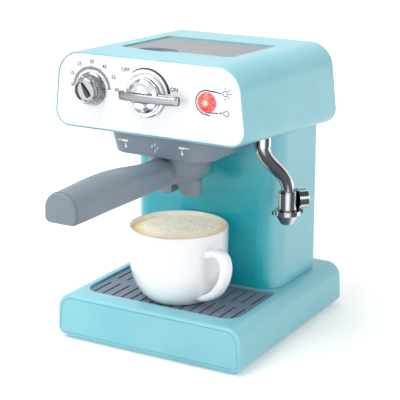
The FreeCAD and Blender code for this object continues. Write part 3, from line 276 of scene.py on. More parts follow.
# Shells: satin turquoise that takes a soft sheen, glossy white, and greys with more grain.
turquoise_abs = moulded_plastic("turquoise_abs_satin_moulded", "#8ACFDA", "#80C8D5", 0.3, 9, 0.008,
                                Coat_Weight=0.15, Coat_Roughness=0.2)
# The column's shell carries painted shade on its front, a deeper teal added further down.
column_painted_shade_abs = moulded_plastic("turquoise_abs_column_painted_shade", "#86CDD8", "#7CC6D3", 0.26, 9, 0.008,
                             Coat_Weight=0.25, Coat_Roughness=0.15)
white_abs = moulded_plastic("white_abs_gloss_moulded", "#F6F9FC", "#F1F5F9", 0.18, 9, 0.006,
                            Coat_Weight=0.35, Coat_Roughness=0.08)
grey_polypropylene = moulded_plastic("grey_polypropylene_satin", "#7D8A97", "#748290", 0.38, 0.5,
                                     0.008)
tray_grey_abs = moulded_plastic("tray_grey_abs_textured", "#7A8899", "#728092", 0.5, 0.45, 0.02)
lid_abs = moulded_plastic("lid_grey_abs_textured", "#94979B", "#8C9094", 0.42, 0.6, 0.006)
cup_melamine = moulded_plastic("cup_white_melamine_glossy", "#FBFBFC", "#F7F8FA", 0.12, 2.5, 0.004,
                               Coat_Weight=0.6, Coat_Roughness=0.05)
# Inner parts, feet and cells: matt or dull, so that they fall back behind the shells.
ivory_nylon = moulded_plastic("ivory_nylon_matt", "#E4E6E8", "#DADDE0", 0.5, 0.6, 0.01)
board_laminate = moulded_plastic("green_board_laminate", "#2E6B3F", "#285F38", 0.4, 0.8, 0.01)
cell_jacket = moulded_plastic("cell_jacket_film", "#3C4046", "#33373D", 0.3, 0.8, 0.006)
hose_silicone = moulded_plastic("hose_silicone_milky", "#D8DADA", "#CDD0D0", 0.45, 0.9, 0.01)
foot_rubber = moulded_plastic("foot_rubber_matt", "#2B2D2F", "#232527", 0.75, 0.4, 0.03)

# Plating: painted reflections, where along the turn from facing to glancing the base colour is
# painted light or dark.
MIRROR_PAINTED_REFLECTIONS = ((0.03, True), (0.09, False), (0.3, False), (0.4, True), (0.62, True), (0.8, False))
SOFT_PAINTED_REFLECTIONS = ((0.05, True), (0.4, False), (0.8, True))
bright_chrome = plated_metal_painted_reflections("plated_chrome_mirror", "#DDDFE2", "#45474B", 0.08, MIRROR_PAINTED_REFLECTIONS)
dome_chrome = plated_metal_painted_reflections("plated_dome_mirror", "#E2E4E7", "#8B8E93", 0.06,
                           ((0.1, True), (0.3, True), (0.42, False), (0.6, True), (0.75, False)))
dark_chrome = plated_metal_painted_reflections("plated_dark_chrome", "#85888D", "#3E4044", 0.18, SOFT_PAINTED_REFLECTIONS)
lever_chrome = plated_metal_painted_reflections("plated_lever_satin", "#A0A3A8", "#66696E", 0.22, SOFT_PAINTED_REFLECTIONS,
                            brushed=True)
knob_chrome = plated_metal_painted_reflections("plated_knob_painted_reflections", "#C9CBCF", "#505257", 0.16,
                           ((0.08, False), (0.3, True), (0.5, False), (0.75, True)))
pointer_black = plated_metal_painted_reflections("dark_pointer_plating", "#54565B", "#26282B", 0.25, SOFT_PAINTED_REFLECTIONS)
turned_steel = plated_metal_painted_reflections("turned_steel_zinc_coated", "#B4B7BA", "#85888B", 0.3, SOFT_PAINTED_REFLECTIONS,
                            brushed=True)
motor_can = plated_metal_painted_reflections("pressed_tin_can", "#A4A7AA", "#7F8285", 0.35, SOFT_PAINTED_REFLECTIONS)

black_ink = plain_ink("black_pad_print", "#23272C")
seam_shadow = plain_ink("shadow_of_the_parting_line", "#3F97A6")
white_ink = plain_ink("white_pad_print", "#E9EEF2")

# Clear styrene lets the hollow of the tank show under the lid, with a faint moulding swirl.
tank_styrene, tank_tree, tank_shader = finish_named(
    "clear_styrene_tank", "#E4EEF2", 0.06, ior=1.57, Transmission_Weight=0.9)
tank_place = add(tank_tree, "ShaderNodeTexCoord").outputs["Object"]
tank_flow = add(tank_tree, "ShaderNodeTexNoise", {"Vector": tank_place, "Scale": 1 / (20 * MM)})
tank_bump = add(tank_tree, "ShaderNodeBump", {"Height": tank_flow.outputs["Fac"],
                                              "Strength": 0.4, "Distance": 0.1 * MM})
link(tank_tree, tank_bump.outputs["Normal"], tank_shader.inputs["Normal"])

# The column's front is painted a deeper teal as painted shade under the head, which fades out round
# its corners and upwards.
FADE_ACROSS, FADE_BACK, FADE_UP, LEFT_AT_TOP = (0.058, 0.073), (0.0, 0.006), (0.135, 0.175), 0.55
tree = column_painted_shade_abs.node_tree
shader = next(n for n in tree.nodes if n.type == "BSDF_PRINCIPLED")
shell_tint = shader.inputs["Base Color"].links[0].from_socket
place = add(tree, "ShaderNodeTexCoord").outputs["Object"]
spot = add(tree, "ShaderNodeSeparateXYZ", {"Vector": place})
aside = add(tree, "ShaderNodeMath", {0: spot.outputs["X"]}, operation="ABSOLUTE")
middle = add(tree, "ShaderNodeMapRange", {
    "Value": aside.outputs["Value"], "From Min": FADE_ACROSS[0], "From Max": FADE_ACROSS[1],
    "To Min": 1.0, "To Max": 0.0}, interpolation_type="SMOOTHSTEP")
ahead = add(tree, "ShaderNodeMapRange", {
    "Value": spot.outputs["Y"], "From Min": FADE_BACK[0], "From Max": FADE_BACK[1],
    "To Min": 1.0, "To Max": 0.0})
below = add(tree, "ShaderNodeMapRange", {
    "Value": spot.outputs["Z"], "From Min": FADE_UP[0], "From Max": FADE_UP[1],
    "To Min": 1.0, "To Max": LEFT_AT_TOP}, interpolation_type="SMOOTHSTEP")
deep = add(tree, "ShaderNodeMath", {0: middle.outputs["Result"], 1: ahead.outputs["Result"]},
           operation="MULTIPLY")
deep = add(tree, "ShaderNodeMath", {0: deep.outputs["Value"], 1: below.outputs["Result"]},
           operation="MULTIPLY")
# Mixes in the painted shade: a deeper teal where the head shades the column's front.
painted_shade_mix = add(tree, "ShaderNodeMix", {
    0: deep.outputs["Value"], 6: shell_tint, 7: linear("#10B0BF")}, data_type="RGBA")
link(tree, painted_shade_mix.outputs[2], shader.inputs["Base Color"])

lamp_low, lamp_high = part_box("lamp_button")
red_lens = glowing_lens("red_lens_lit", (lamp_low + lamp_high) / 2)
foam_low, foam_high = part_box("foam_insert")
RING_SHIFT = Vector((-1.5, 4.5, 0)) * MM  # the caramel shows more along the front of the rim
froth = milk_foam_painted_glow("milk_froth_painted_glow_caramel_rim", (foam_low + foam_high) / 2 + RING_SHIFT,
                  (foam_high.x - foam_low.x) / 2)

FINISHES = {
    turquoise_abs: ["base_cover", "base_pan", "column_back_cover", "head_shell", "battery_door"],
    column_painted_shade_abs: ["column_shell"],
    white_abs: ["front_panel"],
    grey_polypropylene: ["group_housing", "portafilter_bowl", "twin_spout", "handle_neck",
                         "handle_grip", "handle_end_cap"],
    tray_grey_abs: ["drip_grille"],
    lid_abs: ["tank_lid"],
    tank_styrene: ["water_tank"],
    cup_melamine: ["play_cup"],
    froth: ["foam_insert"],
    dark_chrome: ["timer_knob"],
    lever_chrome: ["power_lever"],
    dome_chrome: ["power_ring", "power_dome"],
    bright_chrome: ["wand_socket", "wand_pivot", "wand_arm", "wand_collar",
                    "wand_barrel", "wand_flange", "wand_nozzle"],
    red_lens: ["lamp_button", "light_led"],
    turned_steel: ["timer_spindle", "power_spindle", "base_screws", "back_cover_screws",
                   "battery_contacts"],
    foot_rubber: ["rubber_feet"],
    ivory_nylon: ["battery_box", "shower_plate", "timer_clockwork", "power_switch",
                  "lamp_switch"],
    cell_jacket: ["battery_cells"],
    board_laminate: ["circuit_board"],
    motor_can: ["water_pump", "speaker"],
    hose_silicone: ["suction_hose", "delivery_hose"],
}
for finish, names in FINISHES.items():
    for name in names:
        mesh = nodes[name].data
        mesh.materials.clear()
        mesh.materials.append(finish)


# ----------------------------------------------------------------- prints
PANEL_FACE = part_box("front_panel")[0].y
INK_LIFT = 0.05 * MM
SKIRT_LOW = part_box("group_housing")[0].z
SKIRT_FACE, SKIRT_LEAN = -76 * MM, 0.175


def on_panel(x, z):
    """A point just in front of the white panel."""
    return Vector((x * MM, PANEL_FACE - INK_LIFT, z * MM))


def on_skirt(x, z):
    """A point of the housing's front wall, which leans outwards as it rises."""
    return Vector((x * MM, SKIRT_FACE - SKIRT_LEAN * (z * MM - SKIRT_LOW) - INK_LIFT, z * MM))


def stroke(points, widths):
    """A line of varying width through points (x, z), as one outline and its faces."""
    corners, faces = [], []
    for i, (x, z) in enumerate(points):
        before, after = points[max(i - 1, 0)], points[min(i + 1, len(points) - 1)]
        run = Vector((after[0] - before[0], after[1] - before[1])).normalized()
        half = widths[i] / 2
        corners += [(x - run.y * half, z + run.x * half), (x + run.y * half, z - run.x * half)]
    for i in range(len(points) - 1):
        faces.append((2 * i + 1, 2 * i + 3, 2 * i + 2, 2 * i))
    return corners, faces


def arc(cx, cz, radius, start, end, steps=24):
    """Points along an arc; the angles are in degrees, anticlockwise from the right."""
    return [(cx + radius * math.cos(math.radians(start + (end - start) * i / steps)),
             cz + radius * math.sin(math.radians(start + (end - start) * i / steps)))
            for i in range(steps + 1)]


def even(points, width):
    """A line of one width."""
    return stroke(points, [width] * len(points))


def filled(points):
    """One flat shape with the given corners."""
    return list(points), [tuple(range(len(points)))]


def printed(name, shapes, where, ink):
    """Puts flat shapes, each as corners and faces in (x, z), on a surface as ink."""
    vertices, faces = [], []
    for corners, outline in shapes:
        start = len(vertices)
        vertices += [where(x, z) for x, z in corners]
        for face in outline:
            ring = [corners[i] for i in face]
            turn = sum(ring[i - 1][0] * ring[i][1] - ring[i][0] * ring[i - 1][1]
                       for i in range(len(ring)))
            face = [start + i for i in face]
            faces.append(face if turn > 0 else face[::-1])
    mesh = bpy.data.meshes.new(name)
    mesh.from_pydata([tuple(v) for v in vertices], [], faces)
    mesh.materials.append(ink)
    return put_on(name, mesh, "machine")


def lettering(name, words, ink):
    """Words on the front panel, each as (text, x, z, height in mm), joined in one mesh."""
    whole = bmesh.new()
    size_per_height, boldness = 1.4, 0.09
    for text, x, z, height in words:
        curve = bpy.data.curves.new(name, "FONT")
        curve.body, curve.size = text, height * size_per_height * MM
        curve.align_x, curve.align_y = "CENTER", "CENTER"
        curve.resolution_u, curve.offset = 3, boldness * MM
        holder = bpy.data.objects.new(name, curve)
        mesh = bpy.data.meshes.new_from_object(holder)
        mesh.transform(Matrix.Translation(on_panel(x, z)) @ Matrix.Rotation(math.pi / 2, 4, "X"))
        whole.from_mesh(mesh)
        bpy.data.objects.remove(holder)
        bpy.data.curves.remove(curve)
        bpy.data.meshes.remove(mesh)
    mesh = bpy.data.meshes.new(name)
    whole.to_mesh(mesh)
    whole.free()
    mesh.materials.append(ink)
    return put_on(name, mesh, "machine")


TIMER_X, DIAL_Z = -52, 220.5
FIRST_MARK, LAST_MARK = 176, 4  # degrees round the timer, where the scale begins and ends

lettering("dial_numbers", [("5", -71.2, 222, 3), ("15", -71, 231.6, 3), ("25", -63.4, 239.8, 3),
                           ("35", -51.2, 242.6, 3), ("45", -39.2, 239.6, 3),
                           ("55", -30.8, 231.8, 3), ("65", -27.6, 222, 3)], black_ink)
lettering("power_words", [("OFF", -19.4, 239, 3.2), ("ON", 25.6, 227.3, 3.2)], black_ink)


def dial_ticks():
    """Minute marks round the timer, spread along an arc by Geometry Nodes."""
    tree = node_group("minute_marks", (
        ("Radius", "Float"), ("First angle", "Float"), ("Sweep", "Float"), ("Marks", "Int"),
        ("Every", "Int"), ("Mark width", "Float"), ("Mark length", "Float"),
        ("Long share", "Float"), ("Ink", "Material")), with_ground=False)
    given = add(tree, "NodeGroupInput").outputs
    line = add(tree, "GeometryNodeCurveArc", {
        "Radius": given["Radius"], "Start Angle": given["First angle"],
        "Sweep Angle": given["Sweep"], "Resolution": given["Marks"]}, mode="RADIUS")
    spots = add(tree, "GeometryNodeCurveToPoints", {
        "Curve": line.outputs["Curve"], "Count": given["Marks"]}, mode="COUNT")
    place = add(tree, "GeometryNodeInputPosition").outputs["Position"]
    outwards = add(tree, "FunctionNodeAlignRotationToVector", {"Vector": place}, axis="X",
                   pivot_axis="Z")
    order = add(tree, "GeometryNodeInputIndex").outputs["Index"]
    rest = add(tree, "ShaderNodeMath", {0: order, 1: given["Every"]}, operation="MODULO")
    major = add(tree, "ShaderNodeMath", {0: rest.outputs["Value"], 1: 0.5}, operation="LESS_THAN")
    longer = add(tree, "ShaderNodeMath", {
        0: major.outputs["Value"], 1: given["Long share"], 2: 1.0}, operation="MULTIPLY_ADD")
    size = add(tree, "ShaderNodeCombineXYZ", {"X": longer.outputs["Value"], "Y": 1.0, "Z": 1.0})
    mark = add(tree, "GeometryNodeMeshGrid", {
        "Size X": given["Mark length"], "Size Y": given["Mark width"], "Vertices X": 2,
        "Vertices Y": 2})
    marks = add(tree, "GeometryNodeInstanceOnPoints", {
        "Points": spots.outputs["Points"], "Instance": mark.outputs["Mesh"],
        "Rotation": outwards.outputs["Rotation"], "Scale": size.outputs["Vector"]})
    solid = add(tree, "GeometryNodeRealizeInstances", {"Geometry": marks.outputs["Instances"]})
    inked = add(tree, "GeometryNodeSetMaterial", {
        "Geometry": solid.outputs["Geometry"], "Material": given["Ink"]})
    add(tree, "NodeGroupOutput", {"Geometry": inked.outputs["Geometry"]})
    mesh = grown_mesh("minute_marks", tree, bpy.data.meshes.new("minute_marks"), {
        "Radius": 17.1 * MM, "First angle": math.radians(LAST_MARK),
        "Sweep": math.radians(FIRST_MARK - LAST_MARK), "Marks": 61, "Every": 10,
        "Mark width": 0.55 * MM, "Mark length": 2.4 * MM, "Long share": 0.55, "Ink": black_ink})
    mesh.transform(Matrix.Translation(on_panel(TIMER_X, DIAL_Z))
                   @ Matrix.Rotation(math.pi / 2, 4, "X"))
    put_on("minute_marks", mesh, "machine")


dial_ticks()

# The switch's arc swells from OFF to ON.
ARC_STEPS, ARC_THIN, ARC_SWELL = 40, 0.5, 2.2
sweep = arc(0, DIAL_Z, 21.2, 128, 8, ARC_STEPS)
printed("power_arc", [stroke(sweep, [ARC_THIN + ARC_SWELL * (i / ARC_STEPS) ** 0.8
                                     for i in range(ARC_STEPS + 1)])], on_panel, black_ink)

# A hooked line goes round the lamp, and a short one leads from under it to the lower mark.
LAMP_X, LAMP_Z = 55, 220.5
round_lamp = arc(LAMP_X - 0.4, LAMP_Z - 0.2, 9.5, 75, 272, 30)
lamp_lines = [
    even([(LAMP_X + 9.6, LAMP_Z + 8.6), (LAMP_X + 2, LAMP_Z + 9.2)] + round_lamp
         + [(LAMP_X + 2.4, LAMP_Z - 10.4)], 0.95),
    even([(LAMP_X - 1.5, LAMP_Z - 8.1), (LAMP_X + 4, LAMP_Z - 7.9), (LAMP_X + 10, LAMP_Z - 7.6)],
         0.8),
]


def bulb_mark(x, z, lit):
    """A small lamp drawn in lines, on its side, with rays when it is lit."""
    shapes = [even(arc(x, z, 2.1, 155, -155, 20), 0.62),
              even([(x - 1.9, z + 0.9), (x - 3.4, z + 0.6)], 0.6),
              even([(x - 1.9, z - 0.9), (x - 3.4, z - 0.6)], 0.6),
              even([(x - 3.8, z), (x - 6.2, z)], 1.0)]
    if lit:
        for angle in (95, 45, 0, -45, -95):
            shapes.append(even(arc(x, z, 3.1, angle, angle, 1)[:1]
                               + arc(x, z, 5.2, angle, angle, 1)[:1], 0.6))
    return shapes


printed("lamp_marks", lamp_lines + bulb_mark(LAMP_X + 16.2, LAMP_Z + 8.2, True)
        + bulb_mark(LAMP_X + 17.2, LAMP_Z - 7.2, False), on_panel, black_ink)


def insert_mark(x, z, side):
    """A portafilter seen from the side, with an arrow under it: its handle to one side."""
    return [filled([(x - 2.6, z + 2.4), (x + 2.6, z + 2.4), (x + 2.6, z + 4.4),
                    (x - 2.6, z + 4.4)]),
            filled([(x + side * 2.6, z + 3.2), (x + side * 7.2, z + 3.2), (x + side * 7.2, z + 4.0),
                    (x + side * 2.6, z + 4.2)]),
            filled([(x - 0.6, z + 1.2), (x - 0.6, z - 1.2), (x - 1.7, z - 1.2), (x, z - 3.2),
                    (x + 1.7, z - 1.2), (x + 0.6, z - 1.2), (x + 0.6, z + 1.2)])]


MARKS_Z, LEFT_MARK_X, DROPS_X, RIGHT_MARK_X = 174, -29.5, -2, 24
drops = []
for dx, dz in ((-2.2, 1.6), (0.6, 3.0), (2.8, 0.6), (0.4, -2.2)):
    x, z = DROPS_X + dx, MARKS_Z + dz
    drops.append(filled([(x - 0.5, z - 1.3), (x + 0.4, z - 1.3), (x + 0.9, z + 1.3),
                         (x + 0.2, z + 1.3)]))
printed("skirt_marks", insert_mark(LEFT_MARK_X, MARKS_Z, -1) + drops
        + insert_mark(RIGHT_MARK_X, MARKS_Z, 1), on_skirt, white_ink)

base_low, base_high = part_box("base_cover")


def on_base_front(x, z):
    """A point just in front of the base."""
    return Vector((x * MM, base_low.y - 0.02 * MM, z * MM))


def front_seam():
    """The fine parting line just inside the rounded edge of the base's front face."""
    wide, foot, top = base_high.x / MM - 3.2, base_low.z / MM + 3, base_high.z / MM - 3
    low, high, lean = 4.5, 10.4, 1.6  # corner radii, and how much narrower the top is
    loop = (arc(low - wide, foot + low, low, 180, 270, 8)
            + arc(wide - low, foot + low, low, 270, 360, 8)
            + arc(wide - high - lean, top - high, high, 0, 90, 12)
            + arc(high + lean - wide, top - high, high, 90, 180, 12))
    return even(loop + loop[:1], 0.45)


printed("front_parting_line", [front_seam()], on_base_front, seam_shadow)

# ------------------------------------------------------------------- cup
CUP_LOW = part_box("play_cup")[0].z
CUP_PLACE = (Matrix.Translation((2 * MM, -46.2 * MM, CUP_LOW))
             @ Matrix.Rotation(math.radians(-22), 4, "Z"))


def flowing(points, between=6):
    """A smooth line through points (Catmull-Rom), as plain tuples."""
    line = []
    for i in range(len(points) - 1):
        a, b, c, d = (Vector(points[max(0, min(k, len(points) - 1))])
                      for k in (i - 1, i, i + 1, i + 2))
        for step in range(between):
            t = step / between
            line.append(tuple(0.5 * (2 * b + (c - a) * t + (2 * a - 5 * b + 4 * c - d) * t ** 2
                                     + (3 * b - a - 3 * c + d) * t ** 3)))
    return line + [tuple(points[-1])]


def lathe(bm, profile, around=128):
    """Turns (radius, height) pairs about the upright axis; the ends lie on the axis."""
    rings = []
    for radius, height in profile:
        if radius < 1e-6:
            rings.append([bm.verts.new((0, 0, height))])
        else:
            rings.append([bm.verts.new((radius * math.cos(math.tau * i / around),
                                        radius * math.sin(math.tau * i / around), height))
                          for i in range(around)])
    for low, high in zip(rings, rings[1:]):
        for i in range(around):
            corners = [low[i % len(low)], low[(i + 1) % len(low)],
                       high[(i + 1) % len(high)], high[i % len(high)]]
            bm.faces.new(list(dict.fromkeys(corners)))


def swept_bar(bm, path, sections, around=28):
    """A closed bar along path (x, z), with an oval section (half thickness, half width)."""
    squareness = 0.8
    rings = []
    for i, (x, z) in enumerate(path):
        before, after = Vector(path[max(i - 1, 0)]), Vector(path[min(i + 1, len(path) - 1)])
        run = (after - before).normalized()
        thick, wide = sections(i / (len(path) - 1))
        ring = []
        for k in range(around):
            turn = math.tau * k / around
            out = thick * math.copysign(abs(math.cos(turn)) ** squareness, math.cos(turn))
            side = wide * math.copysign(abs(math.sin(turn)) ** squareness, math.sin(turn))
            ring.append(bm.verts.new((x - run.y * out, side, z + run.x * out)))
        rings.append(ring)
    for low, high in zip(rings, rings[1:]):
        for k in range(around):
            bm.faces.new((low[k], low[(k + 1) % around], high[(k + 1) % around], high[k]))
    bm.faces.new(rings[0])
    bm.faces.new(rings[-1][::-1])


def placed_piece(name, bm, place, finish, body, smooth=True):
    """Closes a bmesh into a piece, faces outwards, with its place in its mesh."""
    bmesh.ops.scale(bm, vec=(MM, MM, MM), verts=bm.verts)
    bmesh.ops.recalc_face_normals(bm, faces=bm.faces)
    bm.transform(place)
    mesh = bpy.data.meshes.new(name)
    bm.to_mesh(mesh)
    bm.free()
    mesh.materials.append(finish)
    mesh.polygons.foreach_set("use_smooth", [smooth] * len(mesh.polygons))
    return put_on(name, mesh, body)


cup = bmesh.new()
outside = flowing([(22.6, 0.25), (24, 0), (26.2, 0.5), (28.8, 2), (33.5, 7.4), (37.7, 14.6),
                   (40.3, 22.6), (41.5, 32), (41.85, 44), (41.95, 58), (42, 62.4)], 5)
lip = [(41.75, 63.1), (41.2, 63.45), (40.8, 63.45), (40.3, 63.1)]
inside = flowing([(40.05, 62.2), (40, 57), (39.8, 44), (39.4, 32.4), (38.1, 23.6), (35.6, 16.4),
                  (31.6, 9.6), (27, 4.4), (23, 3), (10, 3), (0, 3)], 5)
lathe(cup, [(0, 1.2), (20, 1.2), (21.4, 1)] + outside + lip + inside)
ear = flowing([(40.7, 47.2), (47, 49.6), (54, 51.4), (60.2, 49.2), (63.2, 42.5), (62, 33.5),
               (57.2, 24), (49.6, 15.6), (40, 9.8), (32.4, 7.2)], 6)


def ear_section(share):
    """The ear thins towards its foot and narrows a little at its middle."""
    return 3.9 - 1.0 * max(0, share - 0.7) / 0.3, 5.9 - 0.5 * math.sin(math.pi * share)


swept_bar(cup, ear, ear_section)
glazed_cup = placed_piece("glazed_cup", cup, CUP_PLACE, cup_melamine, "cup")
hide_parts("play_cup")

# The froth is a low mound with an uneven top that meets the cup in a clean line.
FROTH_EDGE, FROTH_FOOT, FROTH_LEVEL, FROTH_RISE, FROTH_RINGS = 39.75, 55.2, 59.6, 2.2, 40
froth_bm = bmesh.new()
mound = []
for i in range(FROTH_RINGS + 1):
    share = i / FROTH_RINGS
    mound.append((FROTH_EDGE * share, FROTH_LEVEL + FROTH_RISE * (1 - share ** 2.2)))
lathe(froth_bm, [(0, FROTH_FOOT), (FROTH_EDGE, FROTH_FOOT)] + mound[::-1], around=120)
for v in froth_bm.verts:
    if v.co.z > FROTH_FOOT + 1:
        reach = 1 - math.hypot(v.co.x, v.co.y) / FROTH_EDGE
        swell = 1.0 * noise.noise(v.co * 0.09) + 0.4 * noise.noise(v.co * 0.35)
        v.co.z += swell * min(1, reach * 4)
milk_froth = placed_piece("milk_froth", froth_bm, CUP_PLACE, froth, "cup")
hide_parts("foam_insert")


def froth_bubbles():
    """Small bubbles scattered over the froth by Geometry Nodes."""
    tree = node_group("froth_bubbles", (
        ("Bubbles per square metre", "Float"), ("Smallest radius", "Float"),
        ("Largest radius", "Float"), ("Lowest", "Float"), ("Finish", "Material")),
        with_ground=True)
    given = add(tree, "NodeGroupInput").outputs
    height = add(tree, "ShaderNodeSeparateXYZ", {
        "Vector": add(tree, "GeometryNodeInputPosition").outputs["Position"]})
    upper = add(tree, "FunctionNodeCompare", {"A": height.outputs["Z"], "B": given["Lowest"]},
                data_type="FLOAT", operation="GREATER_THAN")
    spots = add(tree, "GeometryNodeDistributePointsOnFaces", {
        "Mesh": given["Geometry"], "Selection": upper.outputs["Result"],
        "Density": given["Bubbles per square metre"], "Seed": 7}, distribute_method="RANDOM")
    size = add(tree, "FunctionNodeRandomValue", {
        2: given["Smallest radius"], 3: given["Largest radius"], "Seed": 3},
        data_type="FLOAT")
    ball = add(tree, "GeometryNodeMeshIcoSphere", {"Radius": 1.0, "Subdivisions": 2})
    balls = add(tree, "GeometryNodeInstanceOnPoints", {
        "Points": spots.outputs["Points"], "Instance": ball.outputs["Mesh"],
        "Scale": size.outputs[1]})
    solid = add(tree, "GeometryNodeRealizeInstances", {"Geometry": balls.outputs["Instances"]})
    smooth = add(tree, "GeometryNodeSetShadeSmooth", {"Geometry": solid.outputs["Geometry"]})
    done = add(tree, "GeometryNodeSetMaterial", {
        "Geometry": smooth.outputs["Geometry"], "Material": given["Finish"]})
    add(tree, "NodeGroupOutput", {"Geometry": done.outputs["Geometry"]})
    mesh = grown_mesh("froth_bubbles", tree, milk_froth.data.copy(), {
        "Bubbles per square metre": 90000.0, "Smallest radius": 0.2 * MM,
        "Largest radius": 0.55 * MM, "Lowest": CUP_LOW + 59.2 * MM, "Finish": froth})
    put_on("froth_bubbles", mesh, "cup")


froth_bubbles()


# -------------------------------------------------------------- controls
def facing_front(x, y, z):
    """Places a piece that was drawn lying down, so that its top looks to the front."""
    return Matrix.Translation((x, y, z)) @ Matrix.Rotation(math.pi / 2, 4, "X")


# The timer's knob: a flange, a knurled side, and a raised ring round a sunk face. Heights
# run from the panel; rim is the radius and end is the length, both in millimetres.
KNOB_GAP, KNURLS = 0.4, 48
knob_low, knob_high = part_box("timer_knob")
knob_foot = knob_high.y + KNOB_GAP * MM
rim, end = (knob_high.x - knob_low.x) / 2 / MM, (knob_foot - knob_low.y) / MM
knob_place = facing_front((knob_low.x + knob_high.x) / 2, knob_foot,
                          (knob_low.z + knob_high.z) / 2)

knob_bm = bmesh.new()
flange = [(0, KNOB_GAP), (rim, KNOB_GAP), (rim, 1.6), (rim - 0.5, 2.3), (rim - 1.5, 2.5)]
side = [(rim - 1.3, 3.2), (rim - 1.7, end - 4.2), (rim - 2.0, end - 3.4), (rim - 3.0, end - 2.9)]
raised_ring = [(rim - 3.2, end - 2.2), (rim - 3.3, end - 0.8), (rim - 3.8, end - 0.1),
               (rim - 4.4, end), (rim - 5.0, end - 0.2), (rim - 5.4, end - 1.0),
               (rim - 5.6, end - 1.9)]
lathe(knob_bm, flange + side + raised_ring + [(0, end - 1.9)], around=4 * KNURLS)
for v in knob_bm.verts:
    if 3 < v.co.z < end - 3:
        turn = math.atan2(v.co.y, v.co.x)
        deep = 0.97 if math.cos(KNURLS * turn) < 0 else 1.0
        v.co.x, v.co.y = v.co.x * deep, v.co.y * deep
ringed_knob = placed_piece("ringed_knob", knob_bm, knob_place, knob_chrome, "timer", smooth=False)
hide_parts("timer_knob")

# The pointer is a wedge in the sunk face; its narrow end points to the minutes.
WEDGE_TURN = math.radians(-60)
wedge_bm = bmesh.new()
reach = rim - 5.9
wedge = [(-reach, 0), (-reach * 0.6, 1.1), (reach * 0.3, 2.6), (reach * 0.8, 2.1),
         (reach * 0.8, -2.1), (reach * 0.3, -2.6), (-reach * 0.6, -1.1)]
low_ring = [wedge_bm.verts.new((x, y, end - 2)) for x, y in wedge]
high_ring = [wedge_bm.verts.new((x * 0.93, y * 0.7, end - 0.3)) for x, y in wedge]
for i in range(len(wedge)):
    k = (i + 1) % len(wedge)
    wedge_bm.faces.new((low_ring[i], low_ring[k], high_ring[k], high_ring[i]))
wedge_bm.faces.new(high_ring)
wedge_bm.faces.new(low_ring[::-1])
pointer_wedge = placed_piece("pointer_wedge", wedge_bm,
                             knob_place @ Matrix.Rotation(WEDGE_TURN, 4, "Z"), pointer_black,
                             "timer", smooth=False)

# The power lever is a strap that bulges forward over the dome and loops back at its right.
LEVER_FRONT, STRAP_HALF_THICK, STRAP_HALF_TALL = 14, 0.7, 3.3
lever_low, lever_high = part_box("power_lever")
strap_place = facing_front(0, lever_low.y + LEVER_FRONT * MM, (lever_low.z + lever_high.z) / 2)
strap_bm = bmesh.new()
strap = flowing([(-16.6, 6.5), (-18.6, 7.6), (-19.0, 9.6), (-17.4, 11.4), (-11, 12.6),
                 (-2, 13.1), (8, 13.1), (18, 12.9), (28, 12.2), (33.4, 11.2), (34.9, 9.4),
                 (34.2, 7.2), (31, 6.4), (24, 6.3), (14, 6.4)], 6)
swept_bar(strap_bm, strap, lambda share: (STRAP_HALF_THICK, STRAP_HALF_TALL), 24)
curved_strap = placed_piece("curved_strap", strap_bm, strap_place, lever_chrome, "power")
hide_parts("power_lever")


# ---------------------------------------------------------------- screws
def cross_recesses(name, spots, turn):
    """Dark cross recesses on screw heads, one at each spot, by Geometry Nodes."""
    tree = node_group(name, (("Arm length", "Float"), ("Arm width", "Float"),
                             ("Facing", "Rotation"), ("Ink", "Material")), with_ground=True)
    given = add(tree, "NodeGroupInput").outputs
    arm = add(tree, "GeometryNodeMeshGrid", {
        "Size X": given["Arm length"], "Size Y": given["Arm width"], "Vertices X": 2,
        "Vertices Y": 2})
    other = add(tree, "GeometryNodeTransform", {
        "Geometry": arm.outputs["Mesh"], "Rotation": (0, 0, math.pi / 2),
        "Translation": (0, 0, 0.01 * MM)})
    cross = add(tree, "GeometryNodeJoinGeometry")
    link(tree, arm.outputs["Mesh"], cross.inputs["Geometry"])
    link(tree, other.outputs["Geometry"], cross.inputs["Geometry"])
    marks = add(tree, "GeometryNodeInstanceOnPoints", {
        "Points": given["Geometry"], "Instance": cross.outputs["Geometry"],
        "Rotation": given["Facing"]})
    solid = add(tree, "GeometryNodeRealizeInstances", {"Geometry": marks.outputs["Instances"]})
    inked = add(tree, "GeometryNodeSetMaterial", {
        "Geometry": solid.outputs["Geometry"], "Material": given["Ink"]})
    add(tree, "NodeGroupOutput", {"Geometry": inked.outputs["Geometry"]})
    ground = bpy.data.meshes.new(name)
    ground.from_pydata([tuple(p) for p in spots], [], [])
    put_on(name, grown_mesh(name, tree, ground, {
        "Arm length": 1.9 * MM, "Arm width": 0.5 * MM, "Facing": turn, "Ink": black_ink}),
        "machine")


CROSS_LIFT = 0.02 * MM
REAR_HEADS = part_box("back_cover_screws")[1].y + CROSS_LIFT
cross_recesses("rear_screw_crosses", [Vector((x, REAR_HEADS, z)) for x in (-0.064, 0.064)
                                      for z in (0.052, 0.160)], (-math.pi / 2, 0, 0))
LOW_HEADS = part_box("base_screws")[0].z - CROSS_LIFT
cross_recesses("base_screw_crosses", [Vector((x, 0.004, LOW_HEADS)) for x in (-0.076, 0.076)],
               (math.pi, 0, 0))

# ------------------------------------------------------------------ stage
FLOOR_REACH = 6
floor = bpy.data.objects.new("floor", bpy.data.meshes.new("floor"))
floor.data.from_pydata([(-FLOOR_REACH, -FLOOR_REACH, 0), (FLOOR_REACH, -FLOOR_REACH, 0),
                        (FLOOR_REACH, FLOOR_REACH, 0), (-FLOOR_REACH, FLOOR_REACH, 0)],
                       [], [(0, 1, 2, 3)])
scene.collection.objects.link(floor)
paper = bpy.data.materials.new("white_paper_sweep")
paper.use_nodes = True
paper_tree = paper.node_tree
paper_tree.nodes.clear()
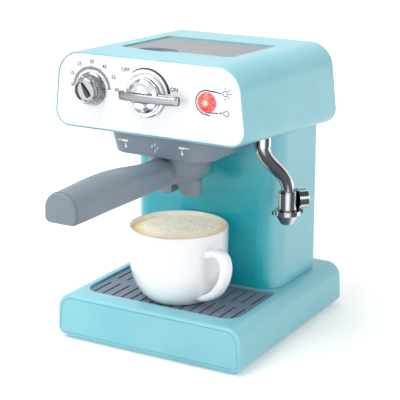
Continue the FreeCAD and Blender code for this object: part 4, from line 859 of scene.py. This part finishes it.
# The paper shines a little where it is looked at, more with distance, so that it ends in
# plain white and keeps its shadow near the object.
away = add(paper_tree, "ShaderNodeVectorMath", {
    0: add(paper_tree, "ShaderNodeTexCoord").outputs["Object"]}, operation="LENGTH")
fill = add(paper_tree, "ShaderNodeMapRange", {"Value": away.outputs["Value"], "From Min": 0.25,
                                              "From Max": 1.2, "To Min": 0.3, "To Max": 1.0})
lift = add(paper_tree, "ShaderNodeMath", {
    0: seen_directly(paper_tree), 1: fill.outputs["Result"]}, operation="MULTIPLY")
sheet = add(paper_tree, "ShaderNodeBsdfDiffuse", {"Color": linear("#F2F1F0")})
shine = add(paper_tree, "ShaderNodeEmission", {"Color": (1, 1, 1, 1),
                                               "Strength": lift.outputs["Value"]})
both = add(paper_tree, "ShaderNodeAddShader", {0: sheet.outputs["BSDF"],
                                               1: shine.outputs["Emission"]})
add(paper_tree, "ShaderNodeOutputMaterial", {"Surface": both.outputs["Shader"]})
floor.data.materials.append(paper)

world = bpy.data.worlds.new("studio")
scene.world = world
world.use_nodes = True
air = world.node_tree
air.nodes.clear()
LIGHT_GIVEN, WHITE_SEEN = 0.5, 1.0
level = add(air, "ShaderNodeMapRange", {"Value": seen_directly(air), "To Min": LIGHT_GIVEN,
                                        "To Max": WHITE_SEEN})
sky = add(air, "ShaderNodeBackground", {"Color": (1, 1, 1, 1),
                                        "Strength": level.outputs["Result"]})
add(air, "ShaderNodeOutputWorld", {"Surface": sky.outputs["Background"]})


def softbox(name, spot, size, power, aim=(0, 0, 0.12)):
    """A rectangular area lamp at a spot, aimed at the object."""
    lamp = bpy.data.lights.new(name, "AREA")
    lamp.shape, lamp.size, lamp.size_y, lamp.energy = "RECTANGLE", size[0], size[1], power
    holder = bpy.data.objects.new(name, lamp)
    holder.location = spot
    holder.rotation_euler = (Vector(aim) - Vector(spot)).to_track_quat("-Z", "Y").to_euler()
    scene.collection.objects.link(holder)


softbox("top_softbox", (-0.35, -0.35, 1.5), (1.2, 1.0), 14, aim=(0, 0, 0.1))
softbox("front_softbox", (-0.5, -1.7, 0.75), (1.1, 0.9), 10)
softbox("right_softbox", (1.6, -0.5, 0.7), (0.7, 0.9), 5.5)
